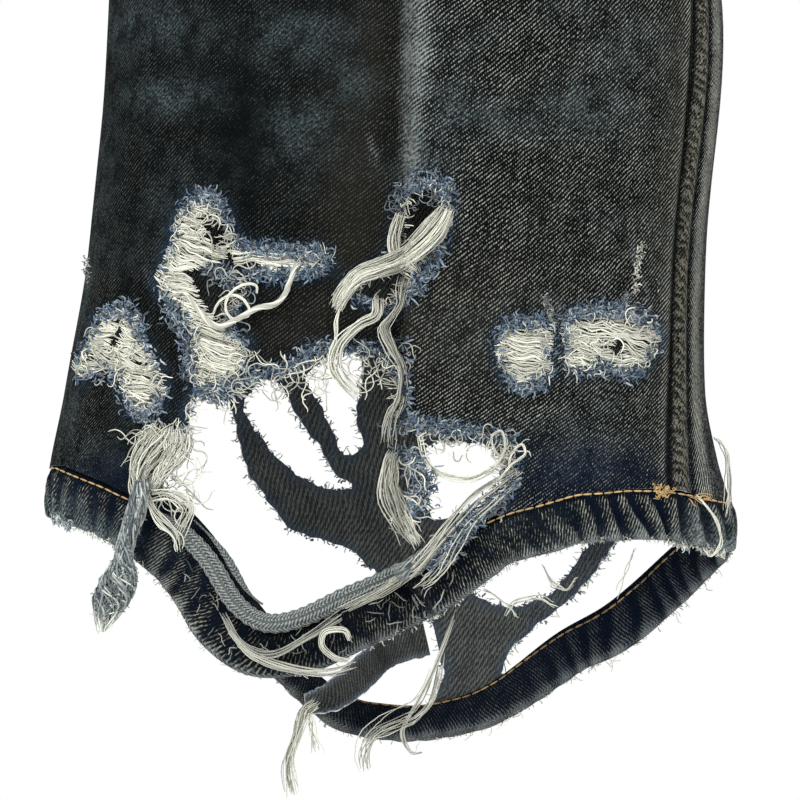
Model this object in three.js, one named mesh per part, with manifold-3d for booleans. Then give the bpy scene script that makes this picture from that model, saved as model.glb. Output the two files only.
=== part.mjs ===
// Ripped five-pocket jeans, hollow and held open at the waist, in millimetres.
// +Z is up, the front faces -Y and the wearer's left leg is on +X. The origin is the middle of the waist
// opening, at the height of the waistband's upper edge.
import * as THREE from 'three';
import { mergeVertices } from 'three/addons/utils/BufferGeometryUtils.js';
import Module from 'manifold-3d';

const wasm = await Module();
wasm.setup();

// Driving dimensions.
const seamGap = 0.4; // between two sewn pieces
const clothWall = 1.4; // one layer of denim with its turned edges
const hemWall = 3; // a hem is three layers
const patchWall = 1.2; // a pocket or loop lying on a panel
const waistbandHeight = 40;
const waistbandWall = 3;
const waistTilt = 0.07; // the back of the waist stands higher than the front
const hemLevel = -1030; // the left leg's hem stitching, before it sags
const legCentreX = 185.5; // the left leg's middle at its hem
const hemHeight = 15;
const crotchLevel = -298;
const legBlendStart = -185; // above this the two legs are one body
const rightHemLevel = -1036;
const beltLoopAngles = [58, 122, 192, 270, 348]; // from the wearer's left side over the front
const beltLoopHalf = 2.2; // degrees each side
const beltLoopDrop = 12; // below the waistband
const beltLoopOut = 2.5;
const bandStart = 89; // the waistband's end under the button, in degrees
const bandEnd = 460;
const bandOut = 0.8;
const lapRise = { from: 424, to: 444, out: 3.8 }; // where the upper end climbs over the lower one
const buttonAngle = 95;
const buttonOut = 5.2;
const zipSize = { width: 26, length: 112, below: 2, inset: 3.6 };
const facingSize = { from: 0.01, past: 0.06, below: 1, drop: 30, slope: 10, inset: 1.8 };
const backPocket = { from: 0.2, to: 0.72, top: -124, bottom: -243, point: 22, slope: 5, out: 1.6 };
const ribbonHeight = { out: 4.5, from: -68, full: -60, fade: 18, to: 26 }; // torn cloth left on the hem
const cutterStart = 6; // how far from the leg's middle a tear's cutter begins
const cutterLength = 110;
const tasselDepth = 36; // in front of the leg's middle

// Rings round the hips: half width, depth of the front and of the back.
const hipRings = [
  { z: 20, width: 147, front: 100, back: 106 },
  { z: 0, width: 149, front: 101, back: 108 },
  { z: -90, width: 168, front: 111, back: 124 },
  { z: -190, width: 183, front: 115, back: 135 },
  { z: -300, width: 190, front: 112, back: 126 },
];

// Rings round one leg: middle, half width, depth of the front and of the back, and how far the seams have
// turned round the leg, in degrees.
const legRings = [
  { z: -150, x: 95, y: 0, width: 93, front: 108, back: 124, turn: 0 },
  { z: -298, x: 95, y: 0, width: 93, front: 100, back: 112, turn: 0 },
  { z: -420, x: 118, y: -2, width: 88, front: 84, back: 90, turn: 0 },
  { z: -560, x: 145, y: -6, width: 80, front: 70, back: 70, turn: 0 },
  { z: -680, x: 168, y: -4, width: 80, front: 58, back: 62, turn: 6 },
  { z: -780, x: 184, y: 0, width: 87, front: 48, back: 56, turn: 16 },
  { z: -872, x: 194.5, y: 2, width: 93.3, front: 43, back: 49, turn: 25 },
  { z: -948, x: 189, y: 3, width: 94.4, front: 41, back: 45, turn: 27 },
  { z: -991, x: 185.6, y: 4, width: 98.6, front: 40, back: 43, turn: 29 },
  { z: -1012, x: 185.2, y: 4, width: 102.7, front: 40, back: 42, turn: 33 },
  { z: -1034, x: 186.4, y: 4, width: 107, front: 40, back: 41, turn: 37 },
  { z: -1130, x: 186.4, y: 4, width: 107, front: 40, back: 41, turn: 37 },
];

// The deep upright fold down the front of the left leg: the outer half stands forward of the inner half.
const deepFold = {
  top: -690,
  full: -850,
  x: 192.5,
  topX: 188,
  ridge: 8,
  valley: 8,
  step: 3,
  ridgeWidth: 32,
  valleyWidth: 20,
};

// Soft creases, each a trough (minus) or ridge (plus) across a panel. angle runs round the leg from its
// outer side over the front, in degrees; slope is the rise in mm for each degree.
const softCreases = [
  { leg: 'both', angle: 70, z: -330, spread: 50, height: 16, depth: -4, slope: 0.5 },
  { leg: 'both', angle: 110, z: -372, spread: 45, height: 14, depth: 3.5, slope: 0.45 },
  { leg: 'both', angle: 80, z: -575, spread: 60, height: 20, depth: -4, slope: -0.3 },
  { leg: 'both', angle: 100, z: -640, spread: 55, height: 18, depth: -4, slope: 0.35 },
  { leg: 'both', angle: 262, z: -560, spread: 55, height: 16, depth: -6, slope: 0.3 },
  { leg: 'both', angle: 280, z: -606, spread: 60, height: 16, depth: -6.5, slope: -0.25 },
  { leg: 'both', angle: 265, z: -655, spread: 55, height: 16, depth: -6, slope: 0.3 },
  { leg: 'both', angle: 275, z: -760, spread: 45, height: 24, depth: -4, slope: -0.5 },
  { leg: 'both', angle: 300, z: -850, spread: 18, height: 90, depth: 4, slope: 0 },
  { leg: 'both', angle: 245, z: -900, spread: 14, height: 110, depth: -4, slope: 0 },
  { leg: 'right', angle: 84, z: -900, spread: 14, height: 130, depth: 2.5, slope: 0 },
  { leg: 'right', angle: 116, z: -900, spread: 14, height: 120, depth: -2, slope: 0 },
  { leg: 'left', angle: 140, z: -905, spread: 9, height: 70, depth: -2.5, slope: 0 },
  { leg: 'left', angle: 55, z: -930, spread: 8, height: 90, depth: -2, slope: 0 },
];

// Outlines on the lower left leg: millimetres across from the leg's middle and up from the hem stitching.
const mainTear = [
  [-71, 4], [-74, 12], [-72, 21], [-60, 27], [-58, 39], [-48, 36], [-43, 42], [-28, 46], [-22, 52], [-2, 51],
  [5, 42], [5, 29], [20, 27], [39, 24], [40, 19], [36, 13], [37, 8], [31, 0], [31, -12], [5, -50], [-71, -50],
];
const frontRip = [[-61, 78], [-52, 80], [-17, 78], [-26, 71], [-39, 63], [-48, 61], [-55, 65]];
const backHoles = [
  [
    [-45, 35], [-41, 27], [-30, 14], [-21, 9], [-8, 8], [-12, 12], [-17, 13], [-19, 20], [-28, 32], [-35, 44],
    [-40, 42],
  ],
  [[-27, 42], [-23, 40], [-16, 25], [-13, 18], [-11, 18], [-6, 23], [-10, 30], [-7, 43], [-8, 52], [-17, 52]],
  [
    [-69, 40], [-55, 42], [-48, 36], [-47, 27], [-42, 12], [-35, 3], [-29, -5], [-19, -7], [-11, -10],
    [3, -24], [12, -29], [16, -36], [17, -45], [19, -48], [16, -54], [13, -62], [13, -90], [-69, -90],
  ],
  [[27, -25], [39, -29], [52, -24], [62, -11], [65, -6], [53, -5], [35, -12], [28, -18]],
  [
    [77, -2], [70, -10], [65, -18], [59, -24], [46, -35], [38, -42], [36, -49], [40, -60], [56, -48],
    [72, -36], [86, -22], [93, -14], [91, -3], [85, 1],
  ],
  [[12, 22], [20, 24], [35, 22], [37, 15], [36, 7], [26, 2], [14, -2], [11, 9]],
];

// The stitching lines of the left hem, over its front and its back, in the same measure. tilt is how far the
// band leans back from upright, in degrees.
const frontHemPath = [
  { x: -103, up: 16, tilt: 0 }, { x: -75, up: 5, tilt: 0 }, { x: -64, up: -3, tilt: 0 },
  { x: -55, up: -12, tilt: 0 }, { x: -46, up: -26, tilt: 0 }, { x: -37, up: -32, tilt: 0 },
  { x: -26, up: -31, tilt: 0 }, { x: -11, up: -24, tilt: 0 }, { x: 5, up: -17, tilt: 0 },
  { x: 17, up: -9, tilt: 0 }, { x: 30, up: 0, tilt: 0 }, { x: 47, up: 5, tilt: 0 },
  { x: 60, up: 8, tilt: 0 }, { x: 85, up: 9, tilt: 0 }, { x: 106, up: 5, tilt: 0 },
];
const backHemPath = [
  { x: 106, up: 5, tilt: 0 }, { x: 96, up: -3, tilt: 0 }, { x: 88, up: -10, tilt: 0 },
  { x: 69, up: -27, tilt: 5 }, { x: 53, up: -37, tilt: 20 }, { x: 31, up: -54, tilt: 40 },
  { x: 13, up: -60, tilt: 50 }, { x: 0, up: -60, tilt: 50 }, { x: -13, up: -57, tilt: 50 },
  { x: -28, up: -45, tilt: 50 }, { x: -40, up: -29, tilt: 40 }, { x: -47, up: -20, tilt: 30 },
  { x: -55, up: -6, tilt: 15 }, { x: -68, up: 6, tilt: 0 }, { x: -103, up: 15, tilt: 0 },
];

// The torn strip of back cloth: its upper and lower edges, and how far back it hangs.
const stripUpper = [[11, -30], [0, -36], [-7, -42], [-19, -52], [-25, -55]];
const stripLower = [[14, -43], [3, -46], [-2, -50], [-12, -58], [-24, -61]];
const stripDepth = [42, 38, 30, 26, 24];

// The twisted tassel at the inner front: across, up and radius.
const tasselPath = [
  [-73, 12, 2], [-75, 3, 2.6], [-78, -6, 2.4], [-81, -12, 3], [-83, -19, 5.5], [-85, -26, 5], [-86, -34, 1.2],
];

// A smooth curve through stations, by cubic Hermite pieces. key names the value that it reads.
function along(stations, by, at, key) {
  const rising = stations[1][by] > stations[0][by];
  const last = stations.length - 1;
  const before = (i) => (rising ? stations[i][by] <= at : stations[i][by] >= at);
  if (!before(0)) return stations[0][key];
  if (before(last)) return stations[last][key];
  let i = 0;
  while (before(i + 1)) i += 1;
  const slope = (k) => {
    const a = stations[Math.max(k - 1, 0)];
    const b = stations[Math.min(k + 1, last)];
    return (b[key] - a[key]) / (b[by] - a[by]);
  };
  const span = stations[i + 1][by] - stations[i][by];
  const t = (at - stations[i][by]) / span;
  const [p0, p1] = [stations[i][key], stations[i + 1][key]];
  const [m0, m1] = [slope(i) * span, slope(i + 1) * span];
  return (
    p0 * (2 * t ** 3 - 3 * t ** 2 + 1) +
    m0 * (t ** 3 - 2 * t ** 2 + t) +
    p1 * (3 * t ** 2 - 2 * t ** 3) +
    m1 * (t ** 3 - t ** 2)
  );
}

// 0 before from, 1 past to, with a soft start and end. from may be above to.
function blend(at, from, to) {
  const t = THREE.MathUtils.clamp((at - from) / (to - from), 0, 1);
  return t * t * (3 - 2 * t);
}

const radians = THREE.MathUtils.degToRad;
const bump = (t) => Math.exp(-t * t);

// The leg's ring at a height, from legRings.
function legRing(z) {
  const read = (key) => along(legRings, 'z', z, key);
  return {
    x: read('x'),
    y: read('y'),
    width: read('width'),
    front: read('front'),
    back: read('back'),
    turn: read('turn'),
  };
}

// How far the cloth stands off its ring at an angle (degrees) and height, from the fold and the creases.
function standOff(leg, angle, z, across) {
  let off = 0;
  for (const crease of softCreases) {
    if (crease.leg !== 'both' && crease.leg !== leg) continue;
    const turned = angle - crease.angle;
    const rise = z - crease.z - crease.slope * turned;
    off += crease.depth * bump(turned / crease.spread) * bump(rise / crease.height);
  }
  if (leg === 'left' && angle > 20 && angle < 170) {
    const strength = blend(z, deepFold.top, deepFold.full);
    const foldX = deepFold.topX + (deepFold.x - deepFold.topX) * strength;
    const side = across - foldX;
    const ridge = deepFold.ridge * Math.exp(-Math.abs(side) / deepFold.ridgeWidth);
    const valley = -deepFold.valley * Math.exp(-Math.abs(side) / deepFold.valleyWidth);
    const sideShare = blend(side, -deepFold.step / 2, deepFold.step / 2);
    off += strength * (valley + (ridge - valley) * sideShare);
  }
  return off;
}

// A point of a leg's outer face. angle runs in degrees from the outer side over the front to the back.
function legPoint(leg, angle, z) {
  const ring = legRing(z);
  const turned = radians(angle);
  const depth = Math.sin(turned) > 0 ? ring.front : ring.back;
  const x = ring.x + ring.width * Math.cos(turned);
  const off = standOff(leg, angle, z, x);
  const nx = Math.cos(turned) / ring.width;
  const ny = -Math.sin(turned) / depth;
  const length = Math.hypot(nx, ny);
  return new THREE.Vector3(
    x + (off * nx) / length,
    ring.y - depth * Math.sin(turned) + (off * ny) / length,
    z,
  );
}

// A point of the hips' outer face. angle runs from the wearer's left side over the front.
function hipPoint(angle, z) {
  const turned = radians(angle);
  const width = along(hipRings, 'z', z, 'width');
  const depth = along(hipRings, 'z', z, Math.sin(turned) > 0 ? 'front' : 'back');
  const y = -depth * Math.sin(turned);
  const tilt = waistTilt * (1 - blend(z, -40, -190));
  return new THREE.Vector3(width * Math.cos(turned), y, z + tilt * y);
}

// A point of the left half. share runs from the outseam (0) to the middle seam or the inseam (1), over the
// front or over the back.
function halfPoint(leg, half, share, z) {
  const isFront = half === 'front';
  const legShare = blend(z, legBlendStart, crotchLevel);
  const turn = legRing(Math.min(z, crotchLevel)).turn;
  const angle = isFront ? turn + 180 * share : turn + 360 - 180 * share;
  const point = hipPoint(isFront ? 90 * share : -90 * share, z).multiplyScalar(1 - legShare);
  point.addScaledVector(legPoint(leg, angle, z), legShare);
  point.x += seamGap / 2;
  return point;
}

// The outward direction of a surface of (u, v), by small steps.
function outward(surface, u, v, inside) {
  const step = 1e-3;
  const du = surface(u + step, v).sub(surface(u - step, v));
  const dv = surface(u, v + step).sub(surface(u, v - step));
  const normal = du.cross(dv).normalize();
  const point = surface(u, v);
  return normal.dot(point.sub(inside(v))) < 0 ? normal.negate() : normal;
}

// A closed wall of cloth: the grid of surface(u, v) at the given shares, and the same grid moved in by wall.
// out moves both faces outward, for what lies on another piece.
function clothWallOf(surface, shares, levels, wall, inside, out = 0) {
  const columns = shares.length;
  const rows = levels.length;
  const positions = [];
  for (const offset of [out, out - wall]) {
    for (const v of levels) {
      for (const u of shares) {
        const point = surface(u, v);
        point.addScaledVector(outward(surface, u, v, inside), offset);
        positions.push(point.x, point.y, point.z);
      }
    }
  }
  const faces = [];
  const at = (layer, row, column) => (layer * rows + row) * columns + column;
  const quad = (a, b, c, d) => faces.push(a, b, c, a, c, d);
  for (let row = 0; row + 1 < rows; row += 1) {
    for (let column = 0; column + 1 < columns; column += 1) {
      quad(at(0, row, column), at(0, row + 1, column), at(0, row + 1, column + 1), at(0, row, column + 1));
      quad(at(1, row, column), at(1, row, column + 1), at(1, row + 1, column + 1), at(1, row + 1, column));
    }
  }
  for (let row = 0; row + 1 < rows; row += 1) {
    const end = columns - 1;
    quad(at(0, row, 0), at(1, row, 0), at(1, row + 1, 0), at(0, row + 1, 0));
    quad(at(0, row, end), at(0, row + 1, end), at(1, row + 1, end), at(1, row, end));
  }
  for (let column = 0; column + 1 < columns; column += 1) {
    const end = rows - 1;
    quad(at(0, 0, column), at(0, 0, column + 1), at(1, 0, column + 1), at(1, 0, column));
    quad(at(0, end, column), at(1, end, column), at(1, end, column + 1), at(0, end, column + 1));
  }
  return facingOut(positions, faces);
}

// A geometry whose faces point out, whichever way its grid ran.
function facingOut(positions, faces) {
  const corner = (i) => new THREE.Vector3().fromArray(positions, 3 * i);
  let volume = 0;
  for (let i = 0; i < faces.length; i += 3) {
    volume += corner(faces[i]).dot(corner(faces[i + 1]).cross(corner(faces[i + 2])));
  }
  if (volume < 0) faces.reverse();
  const geometry = new THREE.BufferGeometry();
  geometry.setAttribute('position', new THREE.Float32BufferAttribute(positions, 3));
  geometry.setIndex(faces);
  return geometry;
}

// The same shape on the other side of the middle.
function mirrored(geometry) {
  const positions = [...geometry.attributes.position.array];
  for (let i = 0; i < positions.length; i += 3) positions[i] = -positions[i];
  return facingOut(positions, [...geometry.index.array]);
}

function toSolid(geometry) {
  const bare = geometry.clone();
  bare.deleteAttribute('normal');
  bare.deleteAttribute('uv');
  const merged = mergeVertices(bare, 1e-4);
  return new wasm.Manifold(
    new wasm.Mesh({
      numProp: 3,
      vertProperties: new Float32Array(merged.attributes.position.array),
      triVerts: new Uint32Array(merged.index.array),
    }),
  );
}

function toGeometry(solid) {
  const mesh = solid.getMesh();
  const geometry = new THREE.BufferGeometry();
  geometry.setAttribute('position', new THREE.Float32BufferAttribute(mesh.vertProperties, 3));
  geometry.setIndex([...mesh.triVerts]);
  return geometry;
}

// A cutter through the front (side -1) or the back (side 1) of the left leg, from an outline on it.
function legCutter(outline, side) {
  const shape = new THREE.Shape(outline.map(([x, up]) => new THREE.Vector2(legCentreX + x, hemLevel + up)));
  const prism = new THREE.ExtrudeGeometry(shape, { depth: cutterLength, bevelEnabled: false });
  prism.rotateX(Math.PI / 2);
  prism.translate(0, side > 0 ? cutterLength + cutterStart : -cutterStart, 0);
  return toSolid(prism);
}

function cutBy(geometry, cutters) {
  return toGeometry(cutters.reduce((solid, cutter) => solid.subtract(cutter), toSolid(geometry)));
}

const evenly = (count) => Array.from({ length: count + 1 }, (_, i) => i / count);
const reach = (shares, from, to) => shares.map((share) => from + (to - from) * share);

// Heights of the seams.
const mouthShare = 0.42; // the pocket mouth reaches this far across the front
const mouthDepth = 88;
const panelTop = -waistbandHeight - seamGap;

function frontTop(share) {
  if (share >= mouthShare) return panelTop;
  return panelTop - mouthDepth * Math.sqrt(1 - (share / mouthShare) ** 2);
}

const yokeSeam = (share) => -78 - 36 * share;

// The height of the left hem's stitching at an angle round the leg.
function leftHemTop(angle) {
  const ring = legRing(hemLevel);
  const x = ring.width * Math.cos(radians(angle)) + ring.x - legCentreX;
  const onFront = Math.sin(radians(angle)) >= 0;
  return hemLevel + along(onFront ? frontHemPath : backHemPath, 'x', x, 'up');
}

function panelBottom(leg, half, share) {
  if (leg === 'right') return rightHemLevel;
  const turn = legRing(hemLevel).turn;
  return leftHemTop(half === 'front' ? turn + 180 * share : turn + 360 - 180 * share);
}

// A leg panel. level runs from 0 at the upper seam to 1 at evenTop, 2 at evenBottom and 3 at the hem, so
// that rows meet across the seams where both panels are level.
const evenTop = -205;
const evenBottom = -940;

function panelSurface(leg, half) {
  const topOf = half === 'front' ? frontTop : (share) => yokeSeam(share) - seamGap;
  return (share, level) => {
    const inSpan = THREE.MathUtils.clamp(share, 0, 1);
    const stops = [topOf(inSpan), evenTop, evenBottom, panelBottom(leg, half, inSpan) + seamGap];
    const stretch = THREE.MathUtils.clamp(Math.floor(level), 0, 2);
    const z = stops[stretch] + (stops[stretch + 1] - stops[stretch]) * (level - stretch);
    return halfPoint(leg, half, share, z);
  };
}

// The middle of the left half, inside the cloth.
function insideOf(z) {
  const share = blend(z, legBlendStart, crotchLevel);
  return new THREE.Vector3(legRing(z).x * (0.35 + 0.65 * share), 0, z);
}

const halfGap = 0.0012; // a seam's gap, as a share of half a leg's girth
const foldShares = [0.4, 0.415, 0.425, 0.437, 0.46, 0.5];
const beforeFold = [0.05, 0.1, 0.16, 0.22, 0.28, 0.34];
const pastFold = [0.55, 0.61, 0.68, 0.76, 0.84, 0.92];
const leftFrontShares = [halfGap, ...beforeFold, ...foldShares, ...pastFold, 1 - halfGap];
const plainShares = [halfGap, ...reach(evenly(9), 0.08, 0.92), 1 - halfGap];
const leftBackShares = [halfGap, ...reach(evenly(12), 0.06, 0.94), 1 - halfGap];
const middleHeights = [-235, -265, -298, -330, -390, -460, -535, -575, -615, -655, -720, -790, -850, -900];
const middleLevels = middleHeights.map((z) => 1 + (z - evenTop) / (evenBottom - evenTop));
const upperLevels = [0, 0.33, 0.67, 1, ...middleLevels, 2];
const leftLevels = [...upperLevels, ...reach(evenly(6).slice(1), 2, 3)];
const rightLevels = [...upperLevels, 2.5, 3];

function legPanel(leg, half, shares, levels) {
  const surface = panelSurface(leg, half);
  const middle = (level) => insideOf(surface(0.5, level).z);
  const wall = clothWallOf(surface, shares, levels, clothWall, middle);
  return leg === 'left' ? wall : mirrored(wall);
}

// A patch on the left half between two heights that may change across it.
function patch(half, from, to, topOf, bottomOf, columns, rows, wall, out) {
  const surface = (u, v) => {
    const share = from + (to - from) * u;
    return halfPoint('left', half, share, topOf(u) + (bottomOf(u) - topOf(u)) * v);
  };
  const middle = (v) => insideOf(surface(0.5, v).z);
  return clothWallOf(surface, evenly(columns), evenly(rows), wall, middle, out);
}

// The band of a hem round the left leg through a list of angles: it follows the stitching, hangs square to it
// and leans by the path's tilt. rollTop raises its torn upper edge, and clear grows it all round.
function leftHemBand(angles, rollTop, clear = 0) {
  const ring = legRing(hemLevel);
  const isFront = angles[1] < 180;
  const path = isFront ? frontHemPath : backHemPath;
  const stitch = (angle) => {
    const point = legPoint('left', angle, leftHemTop(angle));
    point.x += seamGap / 2;
    return point;
  };
  const surface = (angle, v) => {
    const at = stitch(angle);
    const run = stitch(angle + 0.5).sub(stitch(angle - 0.5)).normalize();
    const out = new THREE.Vector3(at.x - ring.x, (at.y - ring.y) * (ring.width / ring.back) ** 2, 0);
    out.addScaledVector(run, -out.dot(run)).normalize();
    const down = new THREE.Vector3().crossVectors(run, out).normalize();
    if (down.z > 0) down.negate();
    const tilt = radians(along(path, 'x', at.x - legCentreX, 'tilt'));
    const top = rollTop(at.x - legCentreX) + clear;
    const drop = top * (v - 1) + (hemHeight + clear) * v;
    at.addScaledVector(down, drop * Math.cos(tilt));
    return at.addScaledVector(out, -drop * Math.sin(tilt));
  };
  const middle = () => new THREE.Vector3(ring.x, ring.y, hemLevel);
  return clothWallOf(surface, angles, [0, 0.5, 1], hemWall + 2 * clear, middle, clear);
}

// A closed ring of cloth round a tube, for the right hem: no seam along it.
function ringWall(pointAt, columns, rows, wall) {
  const positions = [];
  const faces = [];
  const loop = [
    ...Array.from({ length: rows + 1 }, (_, row) => [row / rows, 0]),
    ...Array.from({ length: rows + 1 }, (_, row) => [1 - row / rows, wall]),
  ];
  for (let column = 0; column < columns; column += 1) {
    for (const [v, depth] of loop) {
      const point = pointAt((360 * column) / columns, v, depth);
      positions.push(point.x, point.y, point.z);
    }
  }
  const round = loop.length;
  for (let column = 0; column < columns; column += 1) {
    const next = (column + 1) % columns;
    for (let i = 0; i < round; i += 1) {
      const j = (i + 1) % round;
      const [a, b, c, d] = [column * round + i, column * round + j, next * round + j, next * round + i];
      faces.push(a, b, c, a, c, d);
    }
  }
  return facingOut(positions, faces);
}

function rightHem() {
  const ring = legRing(rightHemLevel);
  const pointAt = (angle, v, depth) => {
    const point = legPoint('right', angle, rightHemLevel - hemHeight * v);
    point.x -= (depth * (point.x - ring.x)) / ring.width;
    point.y -= (depth * (point.y - ring.y)) / ring.front;
    return point;
  };
  return mirrored(ringWall(pointAt, 40, 2, hemWall));
}

// The waistband: from under the button, round by the wearer's right side and the back, to the lap.
function waistband() {
  const lap = (angle) => lapRise.out * blend(angle, lapRise.from, lapRise.to);
  const surface = (angle, v) => {
    const base = hipPoint(angle, -waistbandHeight * v);
    const out = new THREE.Vector3(base.x, base.y * 2, 0).normalize();
    return base.addScaledVector(out, lap(angle));
  };
  const angles = reach(evenly(44), bandStart, bandEnd);
  const middle = (v) => new THREE.Vector3(0, 0, -waistbandHeight * v);
  return clothWallOf(surface, angles, [0, 0.5, 1], waistbandWall, middle, bandOut);
}

function beltLoop(angle) {
  const top = 1;
  const bottom = -waistbandHeight - beltLoopDrop;
  const surface = (u, v) => hipPoint(angle + beltLoopHalf * (2 * u - 1), top + (bottom - top) * v);
  const middle = () => new THREE.Vector3(0, 0, bottom / 2);
  return clothWallOf(surface, evenly(2), evenly(3), patchWall, middle, beltLoopOut);
}

function waistButton() {
  const profile = [[0, 0], [3, 0], [3, 1.5], [8, 2], [8.5, 3], [8, 4.2], [5.5, 4.6], [0, 4]];
  return new THREE.LatheGeometry(profile.map(([r, h]) => new THREE.Vector2(r, h)), 16);
}

// The closed zip's tapes, flat behind the front's middle seam.
function zip() {
  const surface = (u, v) => {
    const z = panelTop - zipSize.below - zipSize.length * v;
    const seam = hipPoint(90, z);
    return new THREE.Vector3(zipSize.width * (u - 0.5), seam.y + clothWall + zipSize.inset, seam.z);
  };
  return clothWallOf(surface, [0, 1], evenly(3), patchWall, () => new THREE.Vector3(0, 0, panelTop));
}

function tornStrip() {
  const edge = (points, t) => {
    const stretch = Math.min(Math.floor(t * (points.length - 1)), points.length - 2);
    const part = t * (points.length - 1) - stretch;
    const [a, b] = [points[stretch], points[stretch + 1]];
    return [a[0] + (b[0] - a[0]) * part, a[1] + (b[1] - a[1]) * part];
  };
  const depthAt = (t) => edge(stripDepth.map((depth) => [depth, 0]), t)[0];
  const surface = (t, v) => {
    const inSpan = THREE.MathUtils.clamp(t, 0, 1);
    const [top, bottom] = [edge(stripUpper, inSpan), edge(stripLower, inSpan)];
    const x = top[0] + (bottom[0] - top[0]) * v;
    const up = top[1] + (bottom[1] - top[1]) * v;
    return new THREE.Vector3(legCentreX + x, depthAt(inSpan), hemLevel + up);
  };
  const middle = () => new THREE.Vector3(legCentreX, 0, hemLevel);
  return clothWallOf(surface, evenly(8), evenly(2), patchWall, middle);
}

function tassel() {
  const sides = 8;
  const positions = [];
  const faces = [];
  for (const [x, up, radius] of tasselPath) {
    for (let side = 0; side < sides; side += 1) {
      const angle = (2 * Math.PI * side) / sides;
      const y = legRing(hemLevel).y - tasselDepth + radius * Math.sin(angle);
      positions.push(legCentreX + x + radius * Math.cos(angle), y, hemLevel + up);
    }
  }
  const rings = tasselPath.length;
  for (let ring = 0; ring + 1 < rings; ring += 1) {
    for (let side = 0; side < sides; side += 1) {
      const next = (side + 1) % sides;
      const [a, b] = [ring * sides + side, ring * sides + next];
      faces.push(a, b, b + sides, a, b + sides, a + sides);
    }
  }
  for (let side = 1; side + 1 < sides; side += 1) {
    const end = (rings - 1) * sides;
    faces.push(0, side + 1, side, end, end + side, end + side + 1);
  }
  return facingOut(positions, faces);
}

const denim = { color: 0x262b31, roughness: 0.95, metalness: 0 };
const fadedDenim = { color: 0x39434e, roughness: 0.95, metalness: 0 };
const rawEdge = { color: 0x6f7f90, roughness: 1, metalness: 0 };
const brass = { color: 0x8a7350, roughness: 0.4, metalness: 0.9 };
const tape = { color: 0x1b1d20, roughness: 0.9, metalness: 0 };

const jeans = new THREE.Group();

function add(name, geometry, finish) {
  const mesh = new THREE.Mesh(geometry, new THREE.MeshStandardMaterial(finish));
  mesh.name = name;
  jeans.add(mesh);
  return mesh;
}

const noRoll = () => 0;
const hemAngles = (from) => reach(evenly(34), from + 1, from + 179);
const hemRoom = [0, 180].map((from) =>
  toSolid(leftHemBand([from - 1, ...hemAngles(from), from + 181], noRoll, seamGap)),
);
const frontCutters = [...[mainTear, frontRip].map((outline) => legCutter(outline, -1)), ...hemRoom];
const backCutters = [...backHoles.map((outline) => legCutter(outline, 1)), ...hemRoom];
add('front_left', cutBy(legPanel('left', 'front', leftFrontShares, leftLevels), frontCutters), denim);
add('front_right', legPanel('right', 'front', plainShares, rightLevels), denim);
add('back_left', cutBy(legPanel('left', 'back', leftBackShares, leftLevels), backCutters), denim);
add('back_right', legPanel('right', 'back', plainShares, rightLevels), denim);

const yoke = patch('back', halfGap, 1 - halfGap, () => panelTop, yokeSeam, 10, 2, clothWall, 0);
add('yoke_left', yoke, denim);
add('yoke_right', mirrored(yoke), denim);

const facingOutset = -clothWall - facingSize.inset;
const facingTop = () => panelTop - facingSize.below;
const facingBottom = (u) => panelTop - mouthDepth - facingSize.drop - facingSize.slope * u;
const facingEnd = mouthShare + facingSize.past;
const { from: facingFrom } = facingSize;
const facing = patch('front', facingFrom, facingEnd, facingTop, facingBottom, 6, 4, patchWall, facingOutset);
add('pocket_facing_left', facing, denim);
add('pocket_facing_right', mirrored(facing), denim);

const pocketOutset = patchWall + backPocket.out;
const pocketTop = (u) => backPocket.top - backPocket.slope * u;
const pocketBottom = (u) =>
  backPocket.bottom - backPocket.point * (1 - Math.abs(2 * u - 1)) - backPocket.slope * u;
const { from: pocketFrom, to: pocketTo } = backPocket;
const pocket = patch('back', pocketFrom, pocketTo, pocketTop, pocketBottom, 8, 5, patchWall, pocketOutset);
add('back_pocket_left', pocket, denim);
add('back_pocket_right', mirrored(pocket), denim);

add('waistband', waistband(), denim);
beltLoopAngles.forEach((angle, i) => add(`belt_loop_${i + 1}`, beltLoop(angle), denim));

const button = add('waist_button', waistButton(), brass);
const buttonSeat = hipPoint(buttonAngle, -waistbandHeight / 2);
button.position.set(buttonSeat.x, buttonSeat.y - buttonOut, buttonSeat.z);
button.rotation.x = Math.PI;
add('zip', zip(), tape);

function ribbonRoll(x) {
  const { out, from, full, fade, to } = ribbonHeight;
  return out * blend(x, from, full) * blend(x, to, fade);
}

add('hem_left_front', leftHemBand(hemAngles(0), ribbonRoll), fadedDenim);
add('hem_left_back', leftHemBand(hemAngles(180), noRoll), fadedDenim);
add('hem_right', rightHem(), fadedDenim);
add('torn_strip_left', tornStrip(), denim);
add('torn_tassel_left', tassel(), rawEdge);

export default jeans;
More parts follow.
